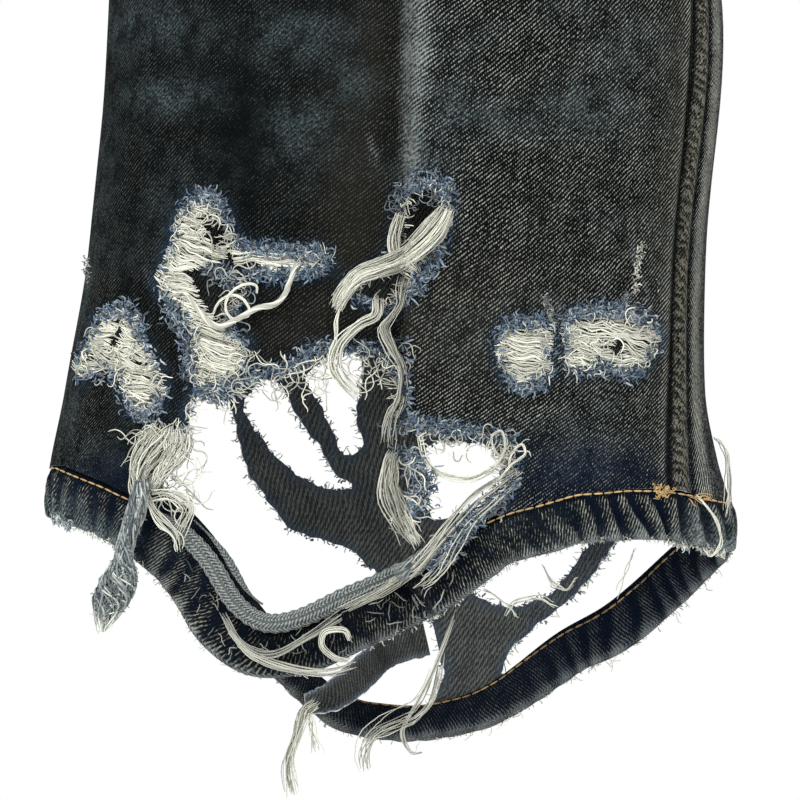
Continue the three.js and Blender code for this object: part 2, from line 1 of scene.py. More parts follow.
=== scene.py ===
import math
import bpy
import numpy as np
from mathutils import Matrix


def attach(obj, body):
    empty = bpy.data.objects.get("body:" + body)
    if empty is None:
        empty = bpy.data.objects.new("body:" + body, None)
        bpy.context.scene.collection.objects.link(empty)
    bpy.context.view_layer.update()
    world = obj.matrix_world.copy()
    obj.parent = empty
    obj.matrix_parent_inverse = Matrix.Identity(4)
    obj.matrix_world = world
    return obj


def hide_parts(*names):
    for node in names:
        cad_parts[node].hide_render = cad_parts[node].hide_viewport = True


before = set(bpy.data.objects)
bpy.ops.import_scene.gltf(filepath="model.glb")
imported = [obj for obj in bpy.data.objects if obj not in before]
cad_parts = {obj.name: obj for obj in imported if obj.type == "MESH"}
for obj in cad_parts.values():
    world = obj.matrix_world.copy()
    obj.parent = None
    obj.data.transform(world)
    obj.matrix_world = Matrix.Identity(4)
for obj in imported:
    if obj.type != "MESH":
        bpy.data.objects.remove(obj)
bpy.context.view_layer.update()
mm = 0.001               # every size below is in millimetres, the meshes are in metres
print("frame loaded:", len(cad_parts), "nodes")

jeansCut = {
    "seamGap": 0.4,
    "cloth": 1.15,            # one layer of denim
    "waistbandHeight": 40,
    "waistTilt": 0.07,
    "legBlendStart": -185,    # above this the two legs are one body
    "crotch": -298,
    "hemLevel": -1030,
    "rightHemLevel": -1036,
    "hemHeight": 15,
    "legCentre": 185.5,
    "evenTop": -205,
    "evenBottom": -940,
}

hips = {
    "z": [20, 0, -90, -190, -300],
    "width": [147, 149, 168, 183, 190],
    "front": [100, 101, 111, 115, 112],
    "back": [106, 108, 124, 135, 126],
}

legRings = {
    "z": [-150, -298, -420, -560, -680, -780, -872, -948, -991, -1012, -1034, -1130],
    "x": [95, 95, 118, 145, 168, 184, 194.5, 189, 185.6, 185.2, 186.4, 186.4],
    "y": [0, 0, -2, -6, -4, 0, 2, 3, 4, 4, 4, 4],
    "width": [93, 93, 88, 80, 80, 87, 93.3, 94.4, 98.6, 102.7, 107, 107],
    "front": [108, 100, 84, 70, 58, 48, 43, 41, 40, 40, 40, 40],
    "back": [124, 112, 90, 70, 62, 56, 49, 45, 43, 42, 41, 41],
    "turn": [0, 0, 0, 0, 6, 16, 25, 27, 29, 33, 37, 37],
}

deepFold = {
    "top": -690, "full": -850, "x": 192.5, "topX": 188,
    "ridge": 8, "valley": 8, "step": 3, "ridgeWidth": 32, "valleyWidth": 20,
}

# leg, angle round the leg, height, spread in degrees, height of the crease, depth, rise for each degree
softCreases = [
    ("both", 70, -330, 50, 16, -4, 0.5), ("both", 110, -372, 45, 14, 3.5, 0.45),
    ("both", 80, -575, 60, 20, -4, -0.3), ("both", 100, -640, 55, 18, -4, 0.35),
    ("both", 262, -560, 55, 16, -6, 0.3), ("both", 280, -606, 60, 16, -6.5, -0.25),
    ("both", 265, -655, 55, 16, -6, 0.3), ("both", 275, -760, 45, 24, -4, -0.5),
    ("both", 300, -850, 18, 90, 4, 0), ("both", 245, -900, 14, 110, -4, 0),
    ("right", 84, -900, 14, 130, 2.5, 0), ("right", 116, -900, 14, 120, -2, 0),
    ("left", 140, -905, 9, 70, -2.5, 0), ("left", 55, -930, 8, 90, -2, 0),
]


def along(table, by, key, at):
    # a smooth curve through the stations of a table
    x = np.array(table[by], float)
    y = np.array(table[key], float)
    order = np.argsort(x)
    x, y = x[order], y[order]
    last = len(x) - 1
    before = np.maximum(np.arange(last + 1) - 1, 0)
    after = np.minimum(np.arange(last + 1) + 1, last)
    slope = (y[after] - y[before]) / (x[after] - x[before])
    at = np.clip(np.asarray(at, float), x[0], x[-1])
    i = np.clip(np.searchsorted(x, at, side="right") - 1, 0, last - 1)
    span = x[i + 1] - x[i]
    t = (at - x[i]) / span
    return (y[i] * (2 * t**3 - 3 * t**2 + 1) + slope[i] * span * (t**3 - 2 * t**2 + t)
            + y[i + 1] * (3 * t**2 - 2 * t**3) + slope[i + 1] * span * (t**3 - t**2))


def ease(at, start, end):
    t = np.clip((np.asarray(at, float) - start) / (end - start), 0, 1)
    return t * t * (3 - 2 * t)


def hill(t):
    return np.exp(-np.square(t))


def softNoise(x, y, seed=0):
    # smooth noise from -1 to 1, the same every run
    total = np.zeros(np.broadcast(x, y).shape)
    for k in range(1, 6):
        a = 2.399 * k + seed * 1.7
        total = total + np.sin(x * math.cos(a) * (0.6 + 0.31 * k) + y * math.sin(a) * (0.6 + 0.27 * k)
                               + 1.3 * np.sin(y * 0.7 + k + seed) + a)
    return total / 5


def standOff(leg, angle, z, across):
    off = np.zeros(np.shape(z))
    for which, middle, level, spread, height, depth, slope in softCreases:
        if which in ("both", leg):
            turned = angle - middle
            off = off + depth * hill(turned / spread) * hill((z - level - slope * turned) / height)
    if leg == "left":
        share = ease(z, deepFold["top"], deepFold["full"])
        foldX = deepFold["topX"] + (deepFold["x"] - deepFold["topX"]) * share
        side = across - foldX
        ridge = deepFold["ridge"] * np.exp(-np.abs(side) / deepFold["ridgeWidth"])
        valley = -deepFold["valley"] * np.exp(-np.abs(side) / deepFold["valleyWidth"])
        onRight = ease(side, -deepFold["step"] / 2, deepFold["step"] / 2)
        onFront = (angle > 20) & (angle < 170)
        off = off + np.where(onFront, share * (valley + (ridge - valley) * onRight), 0)
    return off + fineFolds(leg, angle, z)


def fineFolds(leg, angle, z):
    # shallow unevenness of washed cloth, quiet at the waist
    seed = 3 if leg == "left" else 11
    lower = ease(z, -150, -420)
    slow = softNoise(angle / 16, z / 46, seed) * 1.2
    quick = softNoise(angle / 5, z / 17, seed + 5) * 0.35
    return lower * (slow + quick)


def legPoint(leg, angle, z):
    angle, z = np.broadcast_arrays(np.asarray(angle, float), np.asarray(z, float))
    turned = np.radians(angle)
    width = along(legRings, "z", "width", z)
    depth = np.where(np.sin(turned) > 0, along(legRings, "z", "front", z), along(legRings, "z", "back", z))
    x = along(legRings, "z", "x", z) + width * np.cos(turned)
    off = standOff(leg, angle, z, x)
    nx, ny = np.cos(turned) / width, -np.sin(turned) / depth
    length = np.hypot(nx, ny)
    y = along(legRings, "z", "y", z) - depth * np.sin(turned)
    return np.stack([x + off * nx / length, y + off * ny / length, z], -1)


def hipPoint(angle, z):
    angle, z = np.broadcast_arrays(np.asarray(angle, float), np.asarray(z, float))
    turned = np.radians(angle)
    width = along(hips, "z", "width", z)
    depth = np.where(np.sin(turned) > 0, along(hips, "z", "front", z), along(hips, "z", "back", z))
    y = -depth * np.sin(turned)
    tilt = jeansCut["waistTilt"] * (1 - ease(z, -40, -190))
    return np.stack([width * np.cos(turned), y, z + tilt * y], -1)


def halfPoint(leg, half, share, z):
    # share runs from the outseam (0) to the middle seam or the inseam (1)
    share, z = np.broadcast_arrays(np.asarray(share, float), np.asarray(z, float))
    legShare = ease(z, jeansCut["legBlendStart"], jeansCut["crotch"])[..., None]
    turn = along(legRings, "z", "turn", np.minimum(z, jeansCut["crotch"]))
    angle = turn + 180 * share if half == "front" else turn + 360 - 180 * share
    upper = hipPoint(90 * share if half == "front" else -90 * share, z)
    point = upper * (1 - legShare) + legPoint(leg, angle, z) * legShare
    point[..., 0] += jeansCut["seamGap"] / 2
    return point


def surfaceAt(side, x, z):
    # the point of the left leg's front or back that lies at this x
    centre = along(legRings, "z", "x", z)
    width = along(legRings, "z", "width", z)
    angle = np.degrees(np.arccos(np.clip((x - centre) / width, -1, 1)))
    point = legPoint("left", angle if side == "front" else 360 - angle, z)
    point[..., 0] += jeansCut["seamGap"] / 2
    return point


# tears, in mm across from the leg's middle and up from the hem's stitching

mainTear = [
    (-71, 4), (-74, 12), (-72, 21), (-60, 27), (-58, 39), (-48, 36), (-43, 42), (-28, 46), (-22, 52),
    (-2, 51),
    (5, 42), (5, 29), (20, 27), (39, 24), (40, 19), (36, 13), (37, 8), (31, 0), (31, -12), (5, -50),
    (-71, -50),
]
backHoles = [
    [(-45, 35), (-41, 27), (-30, 14), (-21, 9), (-8, 8), (-12, 12), (-17, 13), (-19, 20), (-28, 32),
     (-35, 44), (-40, 42)],
    [(-27, 42), (-23, 40), (-16, 25), (-13, 18), (-11, 18), (-6, 23), (-10, 30), (-7, 43), (-8, 52),
     (-17, 52)],
    [(-69, 40), (-55, 42), (-48, 36), (-47, 27), (-42, 12), (-35, 3), (-29, -5), (-19, -7), (-11, -10),
     (3, -24), (12, -29), (16, -36), (17, -45), (19, -48), (16, -54), (13, -62), (13, -90), (-69, -90)],
    [(27, -25), (39, -29), (52, -24), (62, -11), (65, -6), (53, -5), (35, -12), (28, -18)],
    [(77, -2), (70, -10), (65, -18), (59, -24), (46, -35), (38, -42), (36, -49), (40, -60), (56, -48),
     (72, -36), (86, -22), (93, -14), (91, -3), (85, 1)],
    [(12, 22), (20, 24), (35, 22), (37, 15), (36, 7), (26, 2), (14, -2), (11, 9)],
    [(-40, 80), (-26, 80), (-19, 79.5), (-24, 76), (-38, 76)],
]
frontRips = {
    "innerPatch": [(-87, 61), (-81, 64), (-76, 61), (-75, 55), (-70.5, 48), (-67.5, 41), (-68, 36),
                   (-72.5, 32.5), (-78, 34.5), (-79.5, 41), (-82.5, 45.5), (-87.5, 46), (-92.5, 43),
                   (-95, 45), (-93, 51), (-89, 55)],
    "branched": [(-56, 98), (-49.5, 95), (-46, 86), (-43.5, 82.5), (-29, 80.5), (-19, 81), (-16, 78),
                 (-20.5, 75.5), (-29, 74.5), (-41, 75), (-42, 69.5), (-44.5, 65), (-48, 60), (-45, 56),
                 (-41.5, 51), (-43.5, 44), (-49.5, 39), (-54, 37), (-57.5, 41), (-57.5, 51.5), (-59.5, 60),
                 (-65, 66), (-69, 72.5), (-66.5, 78), (-63.5, 85), (-62.5, 91), (-59.5, 96)],
    "atFold": [(4, 95), (7.5, 100), (16.5, 101), (19, 97.5), (18.5, 88), (15.5, 81), (10.5, 75), (6, 69.5),
               (4, 64), (-0.5, 63), (-5, 66), (-10, 68), (-12, 71.5), (-7.5, 74), (-0.5, 76.5), (2.5, 82),
               (4, 88.5)],
    "smallPatch": [(35.5, 57), (39.5, 59), (46, 59.5), (49.5, 57.5), (49.5, 53), (48, 49.5), (50, 46),
                   (47, 42.5), (42, 40.5), (37.5, 43), (35, 48), (34, 52.5)],
    "widePatch": [(55, 60), (59, 62.5), (68, 63), (77.5, 62.5), (81.5, 59), (83.5, 54), (80.5, 49.5),
                  (77.5, 46), (73.5, 44), (69, 45.5), (65, 48), (62, 45.5), (56.5, 45), (55, 48.5), (56, 53),
                  (53.5, 56.5)],
}
frontHemPath = {
    "x": [-103, -75, -64, -55, -46, -37, -26, -11, 5, 17, 30, 47, 60, 85, 106],
    "up": [16, 5, -3, -12, -26, -32, -31, -24, -17, -9, 0, 5, 8, 9, 5],
    "tilt": [0] * 15,
}
backHemPath = {
    "x": [106, 96, 88, 69, 53, 31, 13, 0, -13, -28, -40, -47, -55, -68, -103],
    "up": [5, -3, -10, -27, -37, -54, -60, -60, -57, -45, -29, -20, -6, 6, 15],
    "tilt": [0, 0, 0, 5, 20, 40, 50, 50, 50, 50, 40, 30, 15, 0, 0],
}


def leftHemTop(angle):
    angle = np.asarray(angle, float)
    level = jeansCut["hemLevel"]
    width = along(legRings, "z", "width", level)
    x = width * np.cos(np.radians(angle)) + along(legRings, "z", "x", level) - jeansCut["legCentre"]
    front = along(frontHemPath, "x", "up", x)
    back = along(backHemPath, "x", "up", x)
    return level + np.where(np.sin(np.radians(angle)) >= 0, front, back)


def outlineDistance(points, outline):
    # distance of (n, 2) points from a closed outline, minus inside it, and the way to its nearest point
    corners = np.array(outline, float)
    nextOnes = np.roll(corners, -1, 0)
    edge = nextOnes - corners
    toPoint = points[:, None, :] - corners[None]
    t = np.clip((toPoint * edge).sum(-1) / (edge**2).sum(-1), 0, 1)
    nearest = corners[None] + t[..., None] * edge[None]
    gap = np.linalg.norm(points[:, None, :] - nearest, axis=-1)
    best = gap.argmin(1)
    crosses = (corners[None, :, 1] > points[:, None, 1]) != (nextOnes[None, :, 1] > points[:, None, 1])
    run = np.where(np.abs(edge[:, 1]) < 1e-9, 1e-9, edge[:, 1])
    at = corners[None, :, 0] + (points[:, None, 1] - corners[None, :, 1]) * edge[None, :, 0] / run[None]
    inside = (crosses & (points[:, None, 0] < at)).sum(1) % 2 == 1
    rows = np.arange(len(points))
    return np.where(inside, -gap[rows, best], gap[rows, best]), nearest[rows, best] - points


def roundedOutline(outline, spacing=1.5, ragged=0.8, seed=1):
    # the outline with its corners eased and a torn edge's unevenness
    corners = np.array(outline, float)
    dense = []
    for a, b in zip(corners, np.roll(corners, -1, 0)):
        steps = max(1, int(np.linalg.norm(b - a) / spacing))
        dense += [a + (b - a) * k / steps for k in range(steps)]
    dense = np.array(dense)
    for _ in range(3):
        dense = (np.roll(dense, 1, 0) + 2 * dense + np.roll(dense, -1, 0)) / 4
    run = np.roll(dense, -1, 0) - np.roll(dense, 1, 0)
    side = np.stack([run[:, 1], -run[:, 0]], -1) / (np.linalg.norm(run, axis=1)[:, None] + 1e-9)
    rng = np.random.default_rng(seed)
    shift = softNoise(dense[:, 0] * 0.9, dense[:, 1] * 0.9,
                      seed) * ragged + rng.normal(0, ragged * 0.25, len(dense))
    return dense + side * shift[:, None]


def makeObject(name, points, faces, materials, slotOf=None, smooth=True):
    # points in mm, faces as rows of four corners
    points, faces = np.asarray(points, float) * mm, np.asarray(faces, np.int32)
    mesh = bpy.data.meshes.new(name)
    mesh.vertices.add(len(points))
    mesh.vertices.foreach_set("co", points.astype(np.float32).ravel())
    mesh.loops.add(faces.size)
    mesh.loops.foreach_set("vertex_index", faces.ravel())
    mesh.polygons.add(len(faces))
    mesh.polygons.foreach_set("loop_start", np.arange(len(faces), dtype=np.int32) * faces.shape[1])
    for material in materials:
        mesh.materials.append(material)
    if slotOf is not None:
        mesh.polygons.foreach_set("material_index", np.asarray(slotOf, np.int32))
    mesh.polygons.foreach_set("use_smooth", np.full(len(faces), smooth))
    mesh.update(calc_edges=True)
    piece = bpy.data.objects.new(name, mesh)
    bpy.context.scene.collection.objects.link(piece)
    return piece


def setMark(piece, key, value):
    layer = piece.data.attributes.new(key, "FLOAT", "POINT")
    layer.data.foreach_set("value", np.asarray(value, np.float32).ravel())


def setClothMap(piece, uv):
    # uv in mm for each point of the mesh
    mesh = piece.data
    corner = np.empty(len(mesh.loops), np.int32)
    mesh.loops.foreach_get("vertex_index", corner)
    layer = mesh.uv_layers.new(name="clothMap")
    layer.data.foreach_set("uv", (np.asarray(uv)[corner] * 0.01).astype(np.float32).ravel())


def gridNormals(points, inside):
    du = np.gradient(points, axis=1)
    dv = np.gradient(points, axis=0)
    normal = np.cross(du, dv)
    normal /= np.linalg.norm(normal, axis=-1, keepdims=True) + 1e-12
    outward = ((points - inside) * normal).sum(-1)
    return normal if np.median(outward) > 0 else -normal


def snapToHoles(points, outlines, spacing, side):
    # says which grid points are cut away by the tears and moves those beside the cut onto its edge
    rows, columns, _ = points.shape
    flat = points.reshape(-1, 3)
    local = np.stack([flat[:, 0] - jeansCut["legCentre"], flat[:, 2] - jeansCut["hemLevel"]], -1)
    gap = np.full(len(flat), 9.0)
    way = np.zeros((len(flat), 2))
    for outline in outlines:
        corners = np.array(outline)
        near = np.nonzero((flat[:, 1] * side > 6) & (local[:, 0] > corners[:, 0].min() - 4)
                          & (local[:, 0] < corners[:, 0].max() + 4)
                          & (local[:, 1] > corners[:, 1].min() - 4)
                          & (local[:, 1] < corners[:, 1].max() + 4))[0]
        if not len(near):
            continue
        found, toEdge = outlineDistance(local[near], outline)
        closer = found < gap[near]
        gap[near[closer]] = found[closer]
        way[near[closer]] = toEdge[closer]
    cut = (gap < -spacing * 0.5).reshape(rows, columns)
    gone = cut[:-1, :-1] | cut[1:, :-1] | cut[:-1, 1:] | cut[1:, 1:]
    beside = np.zeros((rows, columns), bool)
    for dr in (0, 1):
        for dc in (0, 1):
            beside[dr:rows - 1 + dr, dc:columns - 1 + dc] |= gone
    snapped = np.nonzero((beside & ~cut).ravel() & (np.abs(gap) < spacing * 1.7))[0]
    slopeX = (np.gradient(points[..., 1], axis=1) / (np.gradient(points[..., 0], axis=1) + 1e-9)).ravel()
    moved = flat.copy()
    moved[snapped, 0] += way[snapped, 0]
    moved[snapped, 2] += way[snapped, 1]
    moved[snapped, 1] += np.clip(slopeX[snapped], -1.5, 1.5) * way[snapped, 0]
    return moved.reshape(rows, columns, 3), cut


def clothMesh(name, points, inside, uv, wall, materials, cut=None, marks=None, flip=False):
    # a sheet with an outer face, an inner face and an edge; materials are outer, inner, edge
    rows, columns, _ = points.shape
    normal = gridNormals(points, inside)
    keep = np.ones((rows - 1, columns - 1), bool)
    if cut is not None:
        keep = ~(cut[:-1, :-1] | cut[1:, :-1] | cut[:-1, 1:] | cut[1:, 1:])
    r, c = np.nonzero(keep)
    index = np.arange(rows * columns).reshape(rows, columns)
    quads = np.stack([index[r, c], index[r + 1, c], index[r + 1, c + 1], index[r, c + 1]], -1)
    flat = points.reshape(-1, 3)
    a, b, d = flat[quads[0, 0]], flat[quads[0, 1]], flat[quads[0, 3]]
    if np.dot(np.cross(b - a, d - a), normal.reshape(-1, 3)[quads[0, 0]]) < 0:
        quads = quads[:, ::-1]
    used, quads = np.unique(quads, return_inverse=True)
    quads = quads.reshape(-1, 4)
    outer = flat[used]
    inner = outer - normal.reshape(-1, 3)[used] * wall
    count = len(outer)
    edges = np.concatenate([quads[:, [k, (k + 1) % 4]] for k in range(4)])
    keys = np.sort(edges, 1)
    unique, first, counts = np.unique(keys, axis=0, return_index=True, return_counts=True)
    rim = edges[first[counts == 1]]
    rimQuads = np.stack([rim[:, 1], rim[:, 0], rim[:, 0] + count, rim[:, 1] + count], -1)
    faces = np.concatenate([quads, quads[:, ::-1] + count, rimQuads])
    slots = np.concatenate([np.zeros(len(quads)), np.ones(len(quads)), np.full(len(rimQuads), 2)])
    if flip:
        outer, inner = outer * [-1, 1, 1], inner * [-1, 1, 1]
        faces = faces[:, ::-1]
    piece = makeObject(name, np.concatenate([outer, inner]), faces, materials, slots)
    mesh = piece.data
    uvFlat = uv.reshape(-1, 2)[used]
    setClothMap(piece, np.concatenate([uvFlat, uvFlat]))
    rimVerts = np.zeros(2 * count, bool)
    rimVerts[np.unique(rimQuads)] = True
    ends = np.empty(len(mesh.edges) * 2, np.int32)
    mesh.edges.foreach_get("vertices", ends)
    ends = ends.reshape(-1, 2)
    sharp = rimVerts[ends].all(1) & ((ends < count).all(1) | (ends >= count).all(1))
    mark = mesh.attributes.new("sharp_edge", "BOOLEAN", "EDGE")
    mark.data.foreach_set("value", sharp)
    for key, value in (marks or {}).items():
        flatValue = np.asarray(value, float).reshape(-1)[used]
        setMark(piece, key, np.concatenate([flatValue, flatValue]))
    return piece

# how the cloth and the yarns look; lengths in mm
denimLook = {
    "twill": 1.35,            # from one rib to the next, across
    "lean": 0.90,             # how far a rib leans for each mm of rise
    "yarn": 0.55,             # from one warp yarn to the next
    "dark": (0.0022, 0.0030, 0.0032),
    "light": (0.360, 0.370, 0.325),
    "cloud": (0.092, 0.130, 0.145),
    "brown": (0.043, 0.038, 0.027),
    "navy": (0.003, 0.006, 0.014),
    "worn": (0.30, 0.33, 0.32),
    "indigo": (0.018, 0.035, 0.058),
    "contrast": 1.0,
    "lift": 0.0,
    "flecks": 2.1,
    "rough": 0.95,
    "bump": 0.00028,
}


def addNode(tree, kind, inputs=None, **settings):
    made = tree.nodes.new(kind)
    for key, value in settings.items():
        setattr(made, key, value)
    for key, value in (inputs or {}).items():
        if isinstance(value, bpy.types.NodeSocket):
            tree.links.new(value, made.inputs[key])
        else:
            made.inputs[key].default_value = value
    return made


def calc(tree, operation, a, b=0.0, c=0.0):
    return addNode(tree, "ShaderNodeMath", {0: a, 1: b, 2: c}, operation=operation).outputs[0]


def mixColor(tree, share, a, b, how="MIX"):
    a = (*a, 1) if isinstance(a, tuple) else a
    b = (*b, 1) if isinstance(b, tuple) else b
    made = addNode(tree, "ShaderNodeMix", {0: share, 6: a, 7: b}, data_type="RGBA", blend_type=how)
    return made.outputs[2]


def clamped(tree, value, start, end):
    made = addNode(tree, "ShaderNodeMapRange", {0: value, 1: start, 2: end, 3: 0.0, 4: 1.0},
                   interpolation_type="SMOOTHSTEP")
    return made.outputs[0]


def noiseOf(tree, vector, scale, detail=2.0, rough=0.5):
    made = addNode(tree, "ShaderNodeTexNoise", {"Vector": vector, "Scale": scale, "Detail": detail,
                                                "Roughness": rough})
    return made.outputs[0]


def newMaterial(name, rough, specular=0.25, sheen=0.0, metallic=0.0):
    material = bpy.data.materials.new(name)
    material.use_nodes = True
    shader = material.node_tree.nodes["Principled BSDF"]
    shader.inputs["Roughness"].default_value = rough
    shader.inputs["Specular IOR Level"].default_value = specular
    shader.inputs["Sheen Weight"].default_value = sheen
    shader.inputs["Sheen Roughness"].default_value = 0.6
    shader.inputs["Metallic"].default_value = metallic
    return material, material.node_tree, shader


def clothCoordinates(tree):
    # the place on the cloth in mm, with a little wander of the yarns
    uv = addNode(tree, "ShaderNodeUVMap", uv_map="clothMap").outputs[0]
    place = addNode(tree, "ShaderNodeVectorMath", {0: uv, 1: (100, 100, 100)},
                    operation="MULTIPLY").outputs[0]
    wander = addNode(tree, "ShaderNodeTexNoise", {"Vector": place, "Scale": 0.22, "Detail": 1.0}).outputs[1]
    shift = addNode(tree, "ShaderNodeVectorMath", {0: wander, 1: (0.5, 0.5, 0.5)},
                    operation="SUBTRACT").outputs[0]
    moved = addNode(tree, "ShaderNodeVectorMath", {0: shift, 1: (1.1, 1.1, 0), 2: place},
                    operation="MULTIPLY_ADD")
    axes = addNode(tree, "ShaderNodeSeparateXYZ", {0: moved.outputs[0]})
    return place, axes.outputs[0], axes.outputs[1]


def attributeOf(tree, name):
    return addNode(tree, "ShaderNodeAttribute", attribute_name=name).outputs[2]


def stretched(tree, place, x, y, z=0.0):
    return addNode(tree, "ShaderNodeVectorMath", {0: place, 1: (x, y, 1), 2: (z, z * 0.7, z)},
                   operation="MULTIPLY_ADD").outputs[0]


def denimMaterial(name, look=None):
    # ribs of twill made of short upright floats, clouds of wear, and tints painted on the points, among them
    # painted shade and painted light
    look = {**denimLook, **(look or {})}
    material, tree, shader = newMaterial(name, look["rough"], 0.02)
    place, across, up = clothCoordinates(tree)
    wave = lambda phase: calc(tree, "SINE", calc(tree, "MULTIPLY", phase, 2 * math.pi))
    centred = lambda value, gain, start: calc(tree, "MULTIPLY_ADD", calc(tree, "SUBTRACT", value, 0.5), gain,
                                              start)
    slant = calc(tree, "MULTIPLY_ADD", up, -look["lean"], across)
    rib = wave(calc(tree, "DIVIDE", slant, look["twill"]))
    yarn = wave(calc(tree, "DIVIDE", calc(tree, "MULTIPLY_ADD", up, 0.16, across), look["yarn"]))
    fleck = noiseOf(tree, stretched(tree, place, 1.9, 0.85), 1.0, 2.0, 0.6)
    fine = noiseOf(tree, stretched(tree, place, 1.3, 1.0, 5.0), 1.0, 4.0, 0.75)
    slub = noiseOf(tree, stretched(tree, place, 1.0, 0.06, 7.0), 1.0, 2.0)
    cloudy = noiseOf(tree, stretched(tree, place, 0.03, 0.045, 3.0), 1.0, 4.0, 0.6)
    patchy = noiseOf(tree, stretched(tree, place, 0.16, 0.12, 9.0), 1.0, 3.0, 0.6)
    ribbed = calc(tree, "MULTIPLY_ADD", rib, 0.58 * look["contrast"], calc(tree, "MULTIPLY", yarn, 0.20))
    level = centred(patchy, 0.75, centred(slub, 0.5, centred(fleck, look["flecks"],
                                                             calc(tree, "ADD", ribbed, look["lift"]))))
    # the wear mark raises or lowers the share of light twill: real wear, and on the panels also painted shade
    # in seam grooves and folds and painted light beside the fold
    level = calc(tree, "MULTIPLY_ADD", attributeOf(tree, "wearAndShade"), 0.9, level)
    cloud = calc(tree, "MULTIPLY_ADD", clamped(tree, cloudy, 0.45, 0.75), 0.20, attributeOf(tree, "cloud"))
    cloud = calc(tree, "MULTIPLY", cloud,
                 calc(tree, "MULTIPLY_ADD", clamped(tree, patchy, 0.36, 0.56), 1.0, 0.30))
    worn = attributeOf(tree, "worn")
    rubbed = calc(tree, "MINIMUM", calc(tree, "MULTIPLY_ADD", cloud, 0.38,
                                        calc(tree, "MULTIPLY", worn, 0.75)), 0.85)
    softLevel = centred(patchy, 1.6, centred(fine, 3.2, 0.25))
    level = calc(tree, "MULTIPLY_ADD", calc(tree, "SUBTRACT", softLevel, level), rubbed, level)
    share = clamped(tree, level, 0.28, 1.32)
    dark = mixColor(tree, attributeOf(tree, "navy"), look["dark"], look["navy"])
    dimmed = tuple(part * 0.25 for part in look["light"])
    light = mixColor(tree, attributeOf(tree, "shade"), look["light"], dimmed)
    color = mixColor(tree, share, dark, light)
    cloudShare = calc(tree, "MULTIPLY", calc(tree, "MINIMUM", cloud, 1.0),
                      calc(tree, "MULTIPLY_ADD", share, 0.65, 0.32))
    grain = calc(tree, "MULTIPLY_ADD", clamped(tree, fine, 0.42, 0.62), 1.35, 0.18)
    color = mixColor(tree, calc(tree, "MULTIPLY", cloudShare, grain), color, look["cloud"])
    brownShare = calc(tree, "MULTIPLY", attributeOf(tree, "brown"),
                      calc(tree, "MULTIPLY_ADD", share, 0.6, 0.3))
    color = mixColor(tree, brownShare, color, look["brown"])
    color = mixColor(tree, calc(tree, "MULTIPLY", attributeOf(tree, "halo"), clamped(tree, fine, 0.30, 0.58)),
                     color,
                     look["indigo"])
    color = mixColor(tree, calc(tree, "MULTIPLY", worn, clamped(tree, level, -0.2, 1.0)), color, look["worn"])
    # the ropy ridge beside the outseam
    seam = calc(tree, "ADD", attributeOf(tree, "seam"), -5.4)
    ridge = clamped(tree, calc(tree, "ABSOLUTE", seam), 4.4, 2.6)
    rope = wave(calc(tree, "ADD", calc(tree, "MULTIPLY_ADD", up, 0.30, calc(tree, "MULTIPLY", seam, 0.16)),
                     centred(fleck, 1.8, centred(patchy, 3.6, 0.0))))
    high = calc(tree, "MULTIPLY", ridge,
                clamped(tree, centred(fine, 5.0, calc(tree, "MULTIPLY", rope, 0.7)), -0.5, 1.3))
    low = calc(tree, "MULTIPLY", ridge, clamped(tree, centred(fleck, 2.0, rope), -0.2, -1.1))
    color = mixColor(tree, calc(tree, "MULTIPLY", high, 0.80), color, (0.215, 0.205, 0.155))
    color = mixColor(tree, calc(tree, "MULTIPLY", low, 0.75), color, (0.006, 0.007, 0.008))
    tree.links.new(color, shader.inputs["Base Color"])
    height = calc(tree, "MULTIPLY_ADD", fleck, 0.9, calc(tree, "MULTIPLY_ADD", fine, rubbed, ribbed))
    height = calc(tree, "MULTIPLY_ADD", calc(tree, "MULTIPLY", ridge, rope), 1.8, height)
    bump = addNode(tree, "ShaderNodeBump", {"Height": height, "Distance": look["bump"], "Strength": 0.9})
    tree.links.new(bump.outputs[0], shader.inputs["Normal"])
    return material


outerDenim = denimMaterial("outerDenim")
innerDenim = denimMaterial("innerDenim", {
    "dark": (0.019, 0.0215, 0.021), "navy": (0.015, 0.019, 0.023), "light": (0.104, 0.110, 0.102),
    "cloud": (0.05, 0.06, 0.066), "indigo": (0.04, 0.055, 0.075), "twill": 1.2, "lean": -0.55,
    "contrast": 0.48, "lift": 0.66, "flecks": 1.5})
hemDenim = denimMaterial("hemDenim", {
    "dark": (0.0028, 0.0038, 0.0046), "light": (0.33, 0.335, 0.285), "twill": 1.0, "lean": -0.35,
    "contrast": 0.8, "flecks": 2.2})
hemInside = denimMaterial("hemInside", {
    "dark": (0.0040, 0.0060, 0.0100), "light": (0.12, 0.135, 0.145), "cloud": (0.05, 0.07, 0.10),
    "twill": 1.0, "lean": 0.30, "contrast": 0.7, "lift": 0.15, "flecks": 1.6})


def plainCloth(name, color, other, scale, rough=0.9):
    material, tree, shader = newMaterial(name, rough, 0.2, sheen=0.1)
    place = addNode(tree, "ShaderNodeNewGeometry").outputs["Position"]
    spots = noiseOf(tree, stretched(tree, place, 1, 1), scale, 3.0)
    mixed = mixColor(tree, clamped(tree, spots, 0.35, 0.65), color, other)
    tree.links.new(mixed, shader.inputs["Base Color"])
    bump = addNode(tree, "ShaderNodeBump", {"Height": spots, "Distance": 0.0003, "Strength": 0.7})
    tree.links.new(bump.outputs[0], shader.inputs["Normal"])
    return material


rawEdge = plainCloth("rawEdge", (0.07, 0.10, 0.15), (0.40, 0.42, 0.42), 900)


